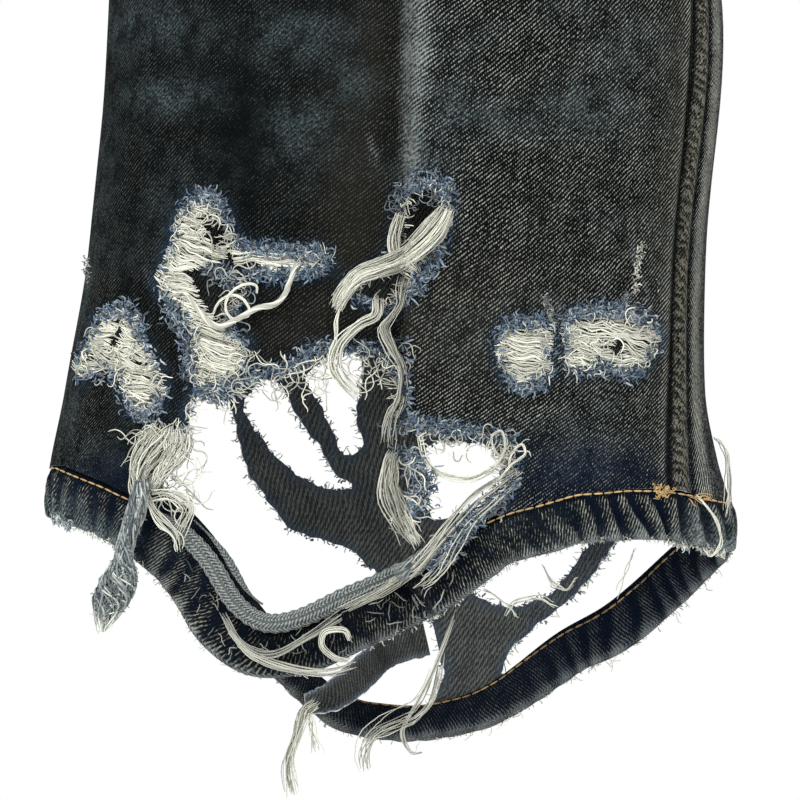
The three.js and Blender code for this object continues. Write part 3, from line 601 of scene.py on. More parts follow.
def yarnMaterial(name, cream, indigo):
    # tone darkens or lightens each thread, indigo turns it from bare weft to dyed warp
    material, tree, shader = newMaterial(name, 0.9, 0.1)
    color = mixColor(tree, attributeOf(tree, "indigo"), cream, indigo)
    tone = attributeOf(tree, "tone")
    toned = mixColor(tree, 1.0, color, addNode(tree, "ShaderNodeCombineColor",
                                               {0: tone, 1: tone, 2: tone}).outputs[0],
                     "MULTIPLY")
    tree.links.new(toned, shader.inputs["Base Color"])
    return material


looseYarn = yarnMaterial("looseYarn", (0.62, 0.62, 0.53), (0.038, 0.064, 0.098))
tanThread = yarnMaterial("tanThread", (0.41, 0.275, 0.125), (0.20, 0.16, 0.11))
greyYarn = yarnMaterial("greyYarn", (0.40, 0.42, 0.38), (0.052, 0.078, 0.098))


def rollMaterial(name):
    # grey warp yarns in rows that lean one way and then the other
    material, tree, shader = newMaterial(name, 0.9, 0.2, sheen=0.15)
    place, across, up = clothCoordinates(tree)
    side = calc(tree, "PINGPONG", up, 1.9)
    slant = calc(tree, "MULTIPLY_ADD", side, 0.8, across)
    rib = calc(tree, "SINE", calc(tree, "MULTIPLY", slant, 2 * math.pi / 1.15))
    row = calc(tree, "SINE", calc(tree, "MULTIPLY", up, 2 * math.pi / 1.9))
    fleck = noiseOf(tree, stretched(tree, place, 1.2, 1.2), 1.0, 3.0, 0.6)
    level = calc(tree, "MULTIPLY_ADD", rib, 0.42, calc(tree, "MULTIPLY", row, 0.18))
    level = calc(tree, "MULTIPLY_ADD", calc(tree, "SUBTRACT", fleck, 0.5), 1.6, level)
    share = clamped(tree, level, -0.5, 0.85)
    color = mixColor(tree, share, (0.014, 0.021, 0.026), (0.27, 0.300, 0.275))
    tree.links.new(color, shader.inputs["Base Color"])
    bump = addNode(tree, "ShaderNodeBump", {"Height": level, "Distance": 0.0003, "Strength": 0.9})
    tree.links.new(bump.outputs[0], shader.inputs["Normal"])
    return material


rollDenim = rollMaterial("rollDenim")


def metalMaterial(name, color, dirt):
    material, tree, shader = newMaterial(name, 0.38, 0.5, metallic=1.0)
    place = addNode(tree, "ShaderNodeNewGeometry").outputs["Position"]
    spots = noiseOf(tree, place, 700, 4.0)
    tree.links.new(mixColor(tree, clamped(tree, spots, 0.45, 0.7), color, dirt), shader.inputs["Base Color"])
    return material


agedMetal = metalMaterial("agedMetal", (0.40, 0.31, 0.19), (0.10, 0.08, 0.055))
zipTape = plainCloth("zipTape", (0.012, 0.013, 0.015), (0.03, 0.03, 0.032), 1500)
print("materials made")


# the leg panels; rows closer together where the leg is torn
panelLook = {
    "frontColumns": 176, "backColumns": 150, "plainColumns": 64,
    "frontWear": [             # across, up, half width, half height, strength of each cloud of wear
        (-74, 150, 20, 8, 0.60), (-66, 128, 16, 5, 0.75), (-24, 120, 11, 6, 0.65), (-28, 114, 9, 5, 0.5),
        (-26, 146, 16, 8, 0.60), (-10, 132, 8, 8, 0.6), (-66, 96, 10, 10, 0.25), (-88, 110, 7, 26, 0.35),
        (20, 124, 9, 10, 0.55), (34, 121, 22, 6, 0.45), (60, 124, 16, 8, 0.5), (12, 108, 9, 8, 0.5),
        (72, 142, 12, 14, 0.25), (60, 20, 14, 8, 0.3), (-97, 38, 4, 16, 0.45), (-93, 66, 4, 16, 0.45),
        (-89, 96, 4, 18, 0.40), (-84, 20, 14, 6, 0.25),
    ],
    "scratches": [            # the same five numbers for each rubbed scratch
        (76.5, 80, 0.9, 4.5, 1.0), (77.5, 71, 0.7, 3, 0.7), (49.5, 65, 0.9, 3.6, 0.9), (52, 61, 0.7, 2, 0.6),
        (83, 72, 1.2, 1.4, 0.4), (-92.5, 77, 2.2, 5, 0.8), (-72.5, 74, 1.5, 2.5, 0.4),
        (5.4, 112, 1.0, 4, 0.8),
    ],
    "frontBrown": [(-8, 92, 12, 46, 0.65), (-3, 140, 8, 30, 0.6), (88, 60, 6, 60, 0.6),
                   (20, 60, 30, 22, 0.35), (90, 110, 5, 50, 0.7), (-22, 58, 20, 14, 0.4)],
    "frontNavy": [(-80, 13, 20, 8, 0.7), (60, 14, 34, 10, 0.9), (92, 20, 8, 16, 0.8)],
}


def blobs(table, x, up):
    total = np.zeros(np.shape(x))
    for atX, atUp, width, height, strength in table:
        total = np.maximum(total, strength * hill((x - atX) / width) * hill((up - atUp) / height))
    return total


def pocketMouth(share):
    reach, top, depth = 0.42, -jeansCut["waistbandHeight"] - jeansCut["seamGap"], 88
    inMouth = np.clip(np.asarray(share, float) / reach, 0, 1)
    return top - depth * np.sqrt(np.maximum(1 - inMouth**2, 0))


def yokeSeam(share):
    return -78 - 36 * np.asarray(share, float)


def panelHeights(leg, half, shares, levels):
    # levels: 0 upper seam, 1 evenTop, 2 evenBottom, 3 hem
    gap = jeansCut["seamGap"]
    top = pocketMouth(shares) if half == "front" else yokeSeam(shares) - gap
    if leg == "left":
        turn = along(legRings, "z", "turn", jeansCut["hemLevel"])
        bottom = leftHemTop(turn + 180 * shares if half == "front" else turn + 360 - 180 * shares)
    else:
        bottom = np.full(len(shares), float(jeansCut["rightHemLevel"]))
    stops = np.stack([top, np.full(len(shares), jeansCut["evenTop"]),
                      np.full(len(shares), jeansCut["evenBottom"]),
                      bottom + gap])
    stretch = np.clip(levels.astype(int), 0, 2)
    part = (levels - stretch)[:, None]
    return stops[stretch] * (1 - part) + stops[stretch + 1] * part


def levelAt(z):
    return 1 + (z - jeansCut["evenTop"]) / (jeansCut["evenBottom"] - jeansCut["evenTop"])


def girthAt(z):
    # half the way round the leg, in mm
    width = along(legRings, "z", "width", z)
    depth = (along(legRings, "z", "front", z) + along(legRings, "z", "back", z)) / 2
    h = ((width - depth) / (width + depth))**2
    return math.pi * (width + depth) * (1 + 3 * h / (10 + np.sqrt(4 - 3 * h))) / 2


def seamRelief(half, share, z, girth):
    # the outseam's felled ridge, on the back panel's side of it, and the sewn edge of the front panel
    at = share * girth
    lower = ease(z, -120, -200)
    if half == "back":
        uneven = 0.3 * softNoise(z / 2.4, at / 3, 4)
        return lower * ((1.5 + uneven) * hill((at - 5.2) / 2.9) - 0.5 * hill((at - 10.5) / 1.6)
                        - 0.7 * hill(at / 1.1))
    return lower * (0.55 * hill((at - 3.2) / 1.7) - 0.7 * hill(at / 1.1))


def legPanel(name, leg, half, columns, levels, cut=None, spacing=1.4, marks=None):
    flat = 0.0012
    fromSeam = np.concatenate([np.linspace(0, 0.055, 20, endpoint=False),
                               np.linspace(0.055, 1, columns - 20)])
    shares = flat + (1 - 2 * flat) * fromSeam
    z = panelHeights(leg, half, shares, levels)
    share = np.broadcast_to(shares, z.shape)
    points = halfPoint(leg, half, share, z)
    centre = np.stack([along(legRings, "z", "x", z) * (0.35 + 0.65 * ease(z, -185, -298)), np.zeros(z.shape),
                       z], -1)
    girth = girthAt(np.minimum(z, -298))
    points = points + gridNormals(points, centre) * seamRelief(half, share, z, girth)[..., None]
    points, gone = snapToHoles(points, cut or [], spacing, -1 if half == "front" else 1)
    direction = -1 if half == "front" else 1
    across = direction * (share - 0.5) * girth * (1 if leg == "left" else -1)
    uv = np.stack([across, z], -1)
    local = points[..., 0] - jeansCut["legCentre"], points[..., 2] - jeansCut["hemLevel"]
    painted = marks(local[0], local[1], share, z, girth, points) if marks else {}
    piece = clothMesh(name, points, centre, uv, jeansCut["cloth"], [outerDenim, innerDenim, rawEdge],
                      cut=gone, marks=painted, flip=leg == "right")
    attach(piece, "root")
    return piece


def nearestGap(x, up, outlines, reach=9.0):
    # distance from each grid point to the closest torn edge, up to reach
    gap = np.full(np.shape(x), reach)
    for outline in outlines:
        corners = np.array(outline)
        near = ((x > corners[:, 0].min() - reach) & (x < corners[:, 0].max() + reach)
                & (up > corners[:, 1].min() - reach) & (up < corners[:, 1].max() + reach))
        if near.any():
            found, _ = outlineDistance(np.stack([x[near], up[near]], -1), outline)
            gap[near] = np.minimum(gap[near], np.abs(found))
    return gap


frontOutlines = [roundedOutline(mainTear, 1.5, 1.0, 2)]
frontOutlines += [roundedOutline(outline, 1.2, 0.7, 5 + i) for i, outline in enumerate(frontRips.values())]
backOutlines = [roundedOutline(outline, 1.6, 0.8, 20 + i) for i, outline in enumerate(backHoles)]


def frontMarks(x, up, share, z, girth, points):
    shown = ease(z, -700, -840)
    gap = np.where(points[..., 1] < -6, nearestGap(x, up, frontOutlines), 9)
    seam = share * girth
    foldSide = x - (jeansCut["foldLine"] - jeansCut["legCentre"])
    deep = ease(z, -800, -880)
    middle = 0.4 + 3.2 * ease(up, 90, 160)
    width = 1.5 + 2.2 * ease(up, 90, 160)
    band = hill((foldSide - middle) / width) * deep * ease(up, 60, 96)
    # the left-facing wall of the fold's step: rubbed brownish cloth, with painted light added so that it
    # reads as lit
    rubbedLitWall = hill((foldSide + 0.6) / 2.2) * deep
    inner = ease(-foldSide, 0, 3) * deep
    edge = hill((share - 1) * girth / 6)
    scratch = blobs(panelLook["scratches"], x + 0.25 * up - 0.25 * 76, up)
    return {
        "cloud": np.minimum(shown * blobs(panelLook["frontWear"], x, up) + 0.55 * band
                            + 0.6 * rubbedLitWall * ease(up, 66, 100), 1.4)
                            + (1 - shown) * upperFade("front", share, z),
        "brown": shown * np.maximum(blobs(panelLook["frontBrown"], x, up), rubbedLitWall),
        "navy": shown * blobs(panelLook["frontNavy"], x, up),
        "halo": hill(gap / 2.6) * (gap < 8.9),
        # wear mark: the seam edge, inseam edge and fold band are real rubbing; the outseam groove, the valley
        # 44 mm left of the middle and the foot of the fold's step get painted shade, and the half right of
        # the fold gets painted light
        "wearAndShade": 0.35 * hill((seam - 3.2) / 2.0) + 0.30 * edge - 0.7 * hill(seam / 1.6) + 0.62 * band
                - 0.45 * hill((x + 44) / 9) * hill((up - 116) / 24) + 0.08 * (1 - inner) * deep
                - 0.35 * blobs(panelLook["frontNavy"], x, up)
                - 0.25 * hill((foldSide + 0.5) / 1.2) * deep * ease(-up, -80, -60),
        "worn": np.clip(0.26 * band + 0.30 * rubbedLitWall * ease(up, 66, 100) + scratch, 0, 1),
        "shade": inner * (1 - 0.4 * hill(foldSide / 9)) * (1 - 0.5 * ease(-x, 80, 95)),
        "seam": np.full(np.shape(x), 99.0),
    }


def upperFade(half, share, z):
    # thighs, knees and seat are the most washed
    if half == "front":
        return 0.5 * hill((share - 0.45) / 0.28) * (hill((z + 380) / 130) + 0.8 * hill((z + 610) / 70))
    return (0.55 * hill((share - 0.55) / 0.3) * hill((z + 190) / 80)
            + 0.3 * hill((share - 0.5) / 0.3) * hill((z + 640) / 110))


def backMarks(x, up, share, z, girth, points):
    shown = ease(z, -700, -840)
    gap = np.where(points[..., 1] > 6, nearestGap(x, up, backOutlines), 9)
    seam = share * girth
    ropy = hill((seam - 5.2) / 3.8)
    return {
        "cloud": (1 - shown) * upperFade("back", share, z)
        + 0.25 * shown * hill((share - 0.5) / 0.2) * hill((z + 900) / 60),
        "brown": 0.5 * ropy * shown,
        "navy": 0.4 * hill((up - 10) / 14) * shown,
        "halo": hill(gap / 1.8) * (gap < 8.9),
        # wear mark: the felled ridge and the inseam edge are real rubbing; the darkening at the seam's join
        # and in the groove beside the felled ridge is painted shade
        "wearAndShade": 0.2 * ropy - 0.6 * hill(seam / 1.5) - 0.5 * hill((seam - 11) / 1.6)
        + 0.60 * hill((seam - 17) / 6) * shown + 0.3 * hill((share - 1) * girth / 6),
        "worn": 0.30 * hill((seam - 9.4) / 0.6) * shown,
        "seam": np.where(points[..., 1] < 60, seam, 99.0),
    }


def plainMarks(half):
    def marks(x, up, share, z, girth, points):
        seam = share * girth
        return {"cloud": upperFade(half, share, z),
                # wear mark: lighter on the sewn edge, with painted shade darkening the seam's join
                "wearAndShade": 0.4 * hill((seam - 4) / 3) - 0.4 * hill(seam / 1.5),
                "navy": 0.5 * hill((z - jeansCut["rightHemLevel"]) / 14), "worn": 0 * seam,
                "seam": seam if half == "back" else np.full(np.shape(x), 99.0)}
    return marks


def rowsOf(*runs):
    # runs of (start level, end level, rows)
    return np.unique(np.concatenate([np.linspace(a, b, n) for a, b, n in runs]).round(6))


frontRows = rowsOf((0, 1, 16), (1, levelAt(-850), 58), (levelAt(-850), levelAt(-926), 26),
                   (levelAt(-926), 2, 11),
                   (2, 3, 72))
backRows = rowsOf((0, 1, 12), (1, levelAt(-850), 52), (levelAt(-850), levelAt(-926), 14),
                  (levelAt(-926), 2, 8), (2, 3, 92))
plainRows = rowsOf((0, 1, 12), (1, 2, 76), (2, 3, 12))
jeansCut["foldLine"] = deepFold["x"] + jeansCut["seamGap"] / 2

frontLeft = legPanel("frontLeftLeg", "left", "front", panelLook["frontColumns"], frontRows, frontOutlines,
                     1.35, frontMarks)
backLeft = legPanel("backLeftLeg", "left", "back", panelLook["backColumns"], backRows, backOutlines, 1.6,
                    backMarks)
frontRight = legPanel("frontRightLeg", "right", "front", panelLook["plainColumns"], plainRows,
                      marks=plainMarks("front"))
backRight = legPanel("backRightLeg", "right", "back", panelLook["plainColumns"], plainRows,
                     marks=plainMarks("back"))
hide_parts("front_left")
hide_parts("back_left")
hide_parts("front_right")
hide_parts("back_right")
print("leg panels made")


def loft(name, rings, materials, slotOf=None, uv=None, closedEnds=False, marks=None):
    # rings is (stations, points round, 3) in mm; the ring is closed and its ends are capped
    count, around, _ = rings.shape
    index = np.arange(count * around).reshape(count, around)
    nextRow = np.roll(index, -1, 0) if closedEnds else index[1:]
    here = index if closedEnds else index[:-1]
    quads = np.stack([here, np.roll(here, -1, 1), np.roll(nextRow, -1, 1), nextRow], -1).reshape(-1, 4)
    slots = np.tile(np.zeros(around, int) if slotOf is None else np.asarray(slotOf), len(here))
    if not closedEnds:
        half = around // 2
        first = [(index[0, k], index[0, (around - 1 - k) % around], index[0, around - 2 - k], index[0, k + 1])
                 for k in range(half - 1)]
        last = [(index[-1, k + 1], index[-1, around - 2 - k], index[-1, around - 1 - k], index[-1, k])
                for k in range(half - 1)]
        quads = np.concatenate([quads, first, last])
        slots = np.concatenate([slots, np.full(2 * (half - 1), slots[0])])
    flat = rings.reshape(-1, 3)
    a, b, c = flat[quads[:, 0]], flat[quads[:, 1]], flat[quads[:, 2]]
    if np.einsum("ij,ij->i", a - flat.mean(0), np.cross(b - flat.mean(0), c - flat.mean(0))).sum() < 0:
        quads = quads[:, ::-1]
    piece = makeObject(name, flat, quads, materials, slots)
    if uv is not None:
        setClothMap(piece, uv.reshape(-1, 2))
    for key, value in (marks or {}).items():
        setMark(piece, key, value)
    return piece


def lengthAlong(points):
    return np.concatenate([[0], np.cumsum(np.linalg.norm(np.diff(points, axis=0), axis=1))])


# the left hem: its stitching line, and the way down and out from it
def hemFrame(angles, path):
    def stitchAt(angle):
        point = legPoint("left", angle, leftHemTop(angle))
        point[..., 0] += jeansCut["seamGap"] / 2
        return point
    at = stitchAt(angles)
    run = stitchAt(angles + 0.5) - stitchAt(angles - 0.5)
    run /= np.linalg.norm(run, axis=1, keepdims=True)
    level = jeansCut["hemLevel"]
    x, y, width, back = (float(along(legRings, "z", key, level)) for key in ("x", "y", "width", "back"))
    out = np.stack([at[:, 0] - x, (at[:, 1] - y) * (width / back)**2, np.zeros(len(at))], -1)
    out -= (out * run).sum(1, keepdims=True) * run
    out /= np.linalg.norm(out, axis=1, keepdims=True)
    down = np.cross(run, out)
    down *= np.where(down[:, 2:] > 0, -1, 1)
    tilt = np.radians(along(path, "x", "tilt", at[:, 0] - jeansCut["legCentre"]))[:, None]
    return at, down * np.cos(tilt) - out * np.sin(tilt), out * np.cos(tilt) + down * np.sin(tilt)


hemLook = {
    "thick": 2.6, "stations": 300, "outerPoints": 14, "innerPoints": 9,
    "ropePitch": 8.0, "ropeDepth": 1.25, "lean": 0.9, "swell": 0.7,
}


def hemSection():
    # places round the band's section: share of the height, share of the thickness, and where it faces
    outer = [(v, 0.0, 1.0) for v in np.linspace(0, 0.93, hemLook["outerPoints"])]
    bottom = [(0.93 + 0.07 * math.sin(t), 0.5 - 0.5 * math.cos(t), math.cos(t))
              for t in (0.7, 1.3, 1.85, 2.5)]
    inner = [(v, 1.0, -1.0) for v in np.linspace(0.93, 0, hemLook["innerPoints"])]
    return np.array(outer + bottom + inner + [(-0.04, 0.5, 0.0)])


def hemBand(name, half, seed):
    path = frontHemPath if half == "front" else backHemPath
    angles = np.linspace(1, 179, hemLook["stations"]) + (0 if half == "front" else 180)
    at, down, out = hemFrame(angles, path)
    u = lengthAlong(at)[:, None]
    v, depth, facing = hemSection().T[:, None, :]
    x = (at[:, 0] - jeansCut["legCentre"])[:, None]
    outerEnds = np.clip(ease(np.abs(x), 25, 60), 0.3, 1)
    wobble = softNoise(u / 9, v * 2 + 0 * u, seed)
    phase = u / hemLook["ropePitch"] + hemLook["lean"] * np.maximum(v, 0)**0.7 + 0.55 * wobble
    rope = np.sin(2 * math.pi * phase) + 0.35 * np.sin(4 * math.pi * phase + 1)
    rope = rope * (0.75 + 0.45 * softNoise(u / 14, v + 0 * u, seed + 4))
    strength = hemLook["ropeDepth"] * outerEnds * np.sin(math.pi * np.clip(v, 0, 1) * 0.62 + 0.1)**1.2
    rise = (strength * rope + hemLook["swell"] * np.sin(math.pi * np.clip(v, 0, 1))
            - 0.55 * hill((v - 0.02) / 0.09))
    drop = jeansCut["hemHeight"] * (1 + 0.035 * softNoise(u / 5, u / 11, seed + 2)) * v
    offset = facing * rise * np.where(facing > 0, 1, 0.7) - depth * hemLook["thick"]
    rings = at[:, None] + down[:, None] * drop[..., None] + out[:, None] * offset[..., None]
    uv = np.stack([u + 0 * v, -drop * facing - 20 * (facing < 0)], -1)
    low = hill((v - 1.0) / 0.13)
    fuzzy = 0.5 + 0.5 * softNoise(u / 1.1, v * 9 + 0 * u, seed + 7)
    marks = {
        "wearAndShade": np.clip(0.60 * rope * (v > 0.1) * outerEnds, -0.7, 0.5) + 0.45 * low
        - 0.5 * hill((v - 0.02) / 0.06)
                + 0.22 * ease(v, 0.35, 0.85) - 0.06 + 0 * u,
        "worn": np.clip(low * (0.3 + 0.9 * fuzzy), 0, 1) * np.where(facing > -0.5, 0.75, 0.4)
                + 0.12 * np.clip(rope, 0, 1) * outerEnds * (v > 0.35) * (facing > 0)
                + 0.45 * fuzzy * ease(x, 86, 98) * (v > 0.08) * (facing > 0),
        "navy": np.clip(0.40 * outerEnds - low - 0.4 * rope - 0.3 * ease(x, 84, 96), 0, 1) + 0 * u,
        "halo": 0.5 * low * (1 - fuzzy),
        "shade": (0.75 * hill((x + 22) / 36) if half == "front" else 0.3) + 0 * rise,
        "cloud": (facing > -0.5)
        * (0.9 * ease(v, 0.2, 0.9) * ease(-x, 55, 75) + 0.35 * ease(v, 0.45, 1) * ease(x, 25, 55)
                                   + 0.9 * ease(v, 0.1, 0.7) * ease(x, 86, 98)),
        "seam": np.full(np.shape(rise + 0 * u), 99.0),
    }
    slots = (hemSection()[:, 2] < -0.5).astype(int)
    piece = loft(name, rings, [hemDenim, hemInside], slots, uv, marks=marks)
    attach(piece, "root")
    return piece


hemFront = hemBand("hemLeftFront", "front", 4)
hemBack = hemBand("hemLeftBack", "back", 9)
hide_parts("hem_left_front")
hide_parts("hem_left_back")


# cloth torn off above the front hem, rolled over the top of it
rollLook = {"from": -72, "to": 33, "out": 2.3, "down": 2.9, "lift": 1.4, "above": 1.6}


def hemAngleAt(x, half="front"):
    # the angle round the leg where the hem's stitching lies at this distance across
    angles = np.linspace(0.5, 179.5, 720) + (0 if half == "front" else 180)
    level = jeansCut["hemLevel"]
    across = (along(legRings, "z", "width", level) * np.cos(np.radians(angles))
              + along(legRings, "z", "x", level)
              - jeansCut["legCentre"])
    order = np.argsort(across)
    return np.interp(x, across[order], angles[order])


def hemRoll(name, look, seed):
    x = np.linspace(look["from"], look["to"], 190)
    at, down, out = hemFrame(hemAngleAt(x), frontHemPath)
    u = lengthAlong(at)[:, None]
    turn = np.linspace(0, 2 * math.pi, 24, endpoint=False)[None]
    ends = np.clip(ease(x, look["from"], look["from"] + 12) * ease(-x, -look["to"], -look["to"] + 14), 0.25,
                   1)[:, None]
    lump = 1 + 0.10 * softNoise(u / 6, turn, seed) + 0.07 * np.sin(2 * math.pi * u / 3.1 + 2 * turn)
    outward = look["lift"] + np.cos(turn) * look["out"] * ends * lump
    downward = -look["above"] + np.sin(turn) * look["down"] * ends * lump
    rings = at[:, None] + out[:, None] * outward[..., None] + down[:, None] * downward[..., None]
    uv = np.stack([u + 0 * turn, turn * look["down"] + 0 * u], -1)
    return loft(name, rings, [rollDenim], None, uv)


rolledCloth = hemRoll("rolledCloth", rollLook, 5)
backFold = hemRoll("rolledFold", {"from": -62, "to": -40, "out": 1.1, "down": 1.3, "lift": -0.6,
                                  "above": 6.4}, 8)
for piece in (rolledCloth, backFold):
    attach(piece, "root")


# the right hem, one ring of folded cloth
def rightHemRing(name):
    angles = np.linspace(0, 360, 420, endpoint=False)
    level = jeansCut["rightHemLevel"]
    section = hemSection()
    v, depth, facing = section.T[:, None, :]
    z = level - jeansCut["hemHeight"] * v + 0 * angles[:, None]
    base = legPoint("right", angles[:, None] + 0 * v, z)
    x, y, width, front = (float(along(legRings, "z", key, level)) for key in ("x", "y", "width", "front"))
    out = np.stack([(base[..., 0] - x) / width, (base[..., 1] - y) / front, 0 * z], -1)
    out /= np.linalg.norm(out, axis=-1, keepdims=True)
    u = lengthAlong(base[:, 0])[:, None]
    phase = u / u.max() * 54 + hemLook["lean"] * v
    rope = np.sin(2 * math.pi * phase) + 0.35 * np.sin(4 * math.pi * phase + 1)
    rise = 0.6 * rope * np.sin(math.pi * np.clip(v, 0, 1) * 0.62
                               + 0.1) + 0.5 * np.sin(math.pi * np.clip(v, 0, 1))
    rings = base + out * (facing * rise - depth * hemLook["thick"])[..., None]
    rings[..., 0] *= -1
    low = hill((v - 1.0) / 0.13)
    marks = {"wearAndShade": np.clip(0.3 * rope, -0.5, 0.4) + 0.5 * low + 0 * u, "worn": 0.6 * low + 0 * u,
             "navy": np.clip(0.6 - low, 0, 1) + 0 * u, "seam": 99 + 0 * u + 0 * v}
    uv = np.stack([-u + 0 * v, -v * jeansCut["hemHeight"] * facing + 0 * u], -1)
    slots = (section[:, 2] < -0.5).astype(int)
    piece = loft(name, rings, [hemDenim, hemInside], slots, uv, closedEnds=True, marks=marks)
    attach(piece, "root")
    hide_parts("hem_right")
    return piece


hemRight = rightHemRing("hemRight")


# a strip of the back torn loose at its lower end
stripPlan = {
    "upper": [(11, -30), (0, -36), (-7, -42), (-19, -52), (-25, -55)],
    "lower": [(14, -43), (3, -46), (-2, -50), (-12, -58), (-24, -61)],
    "depth": [42, 38, 30, 26, 24],
}


def smoothPath(points, count):
    # a curve through a few points, Catmull-Rom
    points = np.asarray(points, float)
    padded = np.concatenate([[2 * points[0] - points[1]], points, [2 * points[-1] - points[-2]]])
    t = np.linspace(0, len(points) - 1, count)
    i = np.minimum(t.astype(int), len(points) - 2)
    f = (t - i)[:, None]
    a, b, c, d = padded[i], padded[i + 1], padded[i + 2], padded[i + 3]
    return 0.5 * (2 * b + (c - a) * f + (2 * a - 5 * b + 4 * c - d) * f**2 + (3 * b - a - 3 * c + d) * f**3)


def tornStrip(name):
    count, across = 70, 16
    top = smoothPath(stripPlan["upper"], count)
    low = smoothPath(stripPlan["lower"], count)
    depth = smoothPath([(d, 0) for d in stripPlan["depth"]], count)[:, 0]
    v = np.linspace(0, 1, across)[:, None, None]
    edge = 0.5 * softNoise(np.arange(count) * 0.9, np.zeros(count), 3)
    flat = top[None] * (1 - v) + low[None] * v + np.stack([0 * edge, edge], -1)[None] * (2 * v - 1)
    y = depth[None] + 1.2 * np.sin(math.pi * v[..., 0] * 1.4) + 0 * flat[..., 0]
    points = np.stack([jeansCut["legCentre"] + flat[..., 0], y, jeansCut["hemLevel"] + flat[..., 1]], -1)
    run = lengthAlong(points[0])
    uv = np.stack(np.broadcast_arrays(run[None], -14 * v[..., 0]), -1)
    inside = points + np.array([0, 50, 0])
    gap = np.minimum(v[..., 0], 1 - v[..., 0]) * 12 + 0 * run[None]
    piece = clothMesh(name, points, inside, uv, 1.1, [innerDenim, outerDenim, rawEdge],
                      marks={"worn": 0.3 * hill(gap / 1.2), "halo": hill(gap / 1.5), "seam": 99 + 0 * gap})
    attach(piece, "root")
    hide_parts("torn_strip_left")
    return piece


looseStrip = tornStrip("looseStrip")
print("hems and torn pieces made")


# loose threads, all of them tubes joined into a few meshes
def wander(rng, start, heading, length, steps, curl, wobble, lift=(0.2, 1.0)):
    # many threads at once, each walking from its start and turning as it goes
    # the result is (threads, steps + 1, 3) of across, up and lift
    count = len(start)
    swing = np.cos(np.linspace(0, 1, steps) * rng.uniform(2.5, 6.5, (count, 1))
                   + rng.uniform(-0.8, 2.4, (count, 1)))
    turn = np.cumsum(curl[:, None] * swing + rng.normal(0, 1, (count, steps)) * wobble, 1)
    angle = heading[:, None] + turn
    step = (length / steps)[:, None, None]
    path = np.cumsum(np.stack([np.cos(angle), np.sin(angle)], -1) * step, 1)
    flat = start[:, None] + np.concatenate([np.zeros((count, 1, 2)), path], 1)
    share = np.linspace(0, 1, steps + 1)[None]
    top = rng.uniform(lift[0], lift[1], (count, 1))
    raised = (top * np.sin(share * math.pi * rng.uniform(0.5, 1.1, (count, 1)))
              + rng.normal(0, 0.06, (count, steps + 1)))
    return np.concatenate([flat, raised[..., None]], -1)


def onLeg(paths, side="front"):
    # across, up and lift to a place on the left leg
    # lift is towards the viewer on the front and away on the back
    x = jeansCut["legCentre"] + paths[..., 0]
    z = jeansCut["hemLevel"] + paths[..., 1]
    base = surfaceAt(side, x, z)
    sign = -1 if side == "front" else 1
    return np.stack([x, base[..., 1] + sign * paths[..., 2], z], -1)


def tubeGroup(paths, radius, indigo, tone, sides=3, taper=0.45):
    # points and faces of round threads along (threads, n, 3) paths in mm
    count, steps, _ = paths.shape
    radius = np.broadcast_to(np.asarray(radius, float), (count,))
    tangent = np.gradient(paths, axis=1)
    tangent /= np.linalg.norm(tangent, axis=-1, keepdims=True) + 1e-9
    aside = np.cross(tangent, np.array([0.31, 0.93, 0.2]))
    aside /= np.linalg.norm(aside, axis=-1, keepdims=True) + 1e-9
    other = np.cross(tangent, aside)
    turn = np.linspace(0, 2 * math.pi, sides, endpoint=False)
    share = np.linspace(0, 1, steps)
    profile = 1 - (1 - taper) * np.clip(np.abs(share - 0.5) * 2, 0, 1)**6
    size = radius[:, None, None, None] * profile[None, :, None, None]
    ring = aside[:, :, None] * np.cos(turn)[:, None] + other[:, :, None] * np.sin(turn)[:, None]
    points = (paths[:, :, None] + ring * size).reshape(-1, 3)
    index = np.arange(count * steps * sides).reshape(count, steps, sides)
    here, after = index[:, :-1], index[:, 1:]
    faces = np.stack([here, np.roll(here, -1, -1), np.roll(after, -1, -1), after], -1).reshape(-1, 4)

    def spread(value):
        value = np.asarray(value, float)
        value = value[..., None, None] if value.ndim < 2 else value[..., None]
        return np.broadcast_to(value, (count, steps, sides)).ravel()
    return points, faces, spread(indigo), spread(tone)


def threadPiece(name, groups, material=None):
    points, faces, indigo, tone = [], [], [], []
    start = 0
    for group in groups:
        points.append(group[0])
        faces.append(group[1] + start)
        indigo.append(group[2])
        tone.append(group[3])
        start += len(group[0])
    piece = makeObject(name, np.concatenate(points), np.concatenate(faces), [material or looseYarn])
    setMark(piece, "indigo", np.concatenate(indigo))
    setMark(piece, "tone", np.concatenate(tone))
    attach(piece, "root")
    print(name, len(piece.data.polygons) * 2, "triangles")
    return piece


def pointsOn(outline, spacing):
    # evenly spaced points of a closed outline with the way into the hole at each
    corners = np.asarray(outline, float)
    ring = np.concatenate([corners, corners[:1]])
    gone = lengthAlong(ring)
    at = np.arange(0, gone[-1], spacing)
    place = np.stack([np.interp(at, gone, ring[:, 0]), np.interp(at, gone, ring[:, 1])], -1)
    ahead = np.stack([np.interp(at + 1.2, gone, ring[:, 0]), np.interp(at + 1.2, gone, ring[:, 1])], -1)
    run = ahead - place
    area = (ring[:-1, 0] * ring[1:, 1] - ring[1:, 0] * ring[:-1, 1]).sum()
    inward = np.stack([-run[:, 1], run[:, 0]], -1) * (1 if area > 0 else -1)
    return place, inward / (np.linalg.norm(inward, axis=1, keepdims=True) + 1e-9)


frayLook = {
    "warpSpacing": 0.20, "warpLength": (1.4, 3.4), "warpRadius": 0.32,
    "weftSpacing": 0.50, "weftLength": (2.5, 6.5), "weftRadius": 0.17,
    "band": 3.6,
}


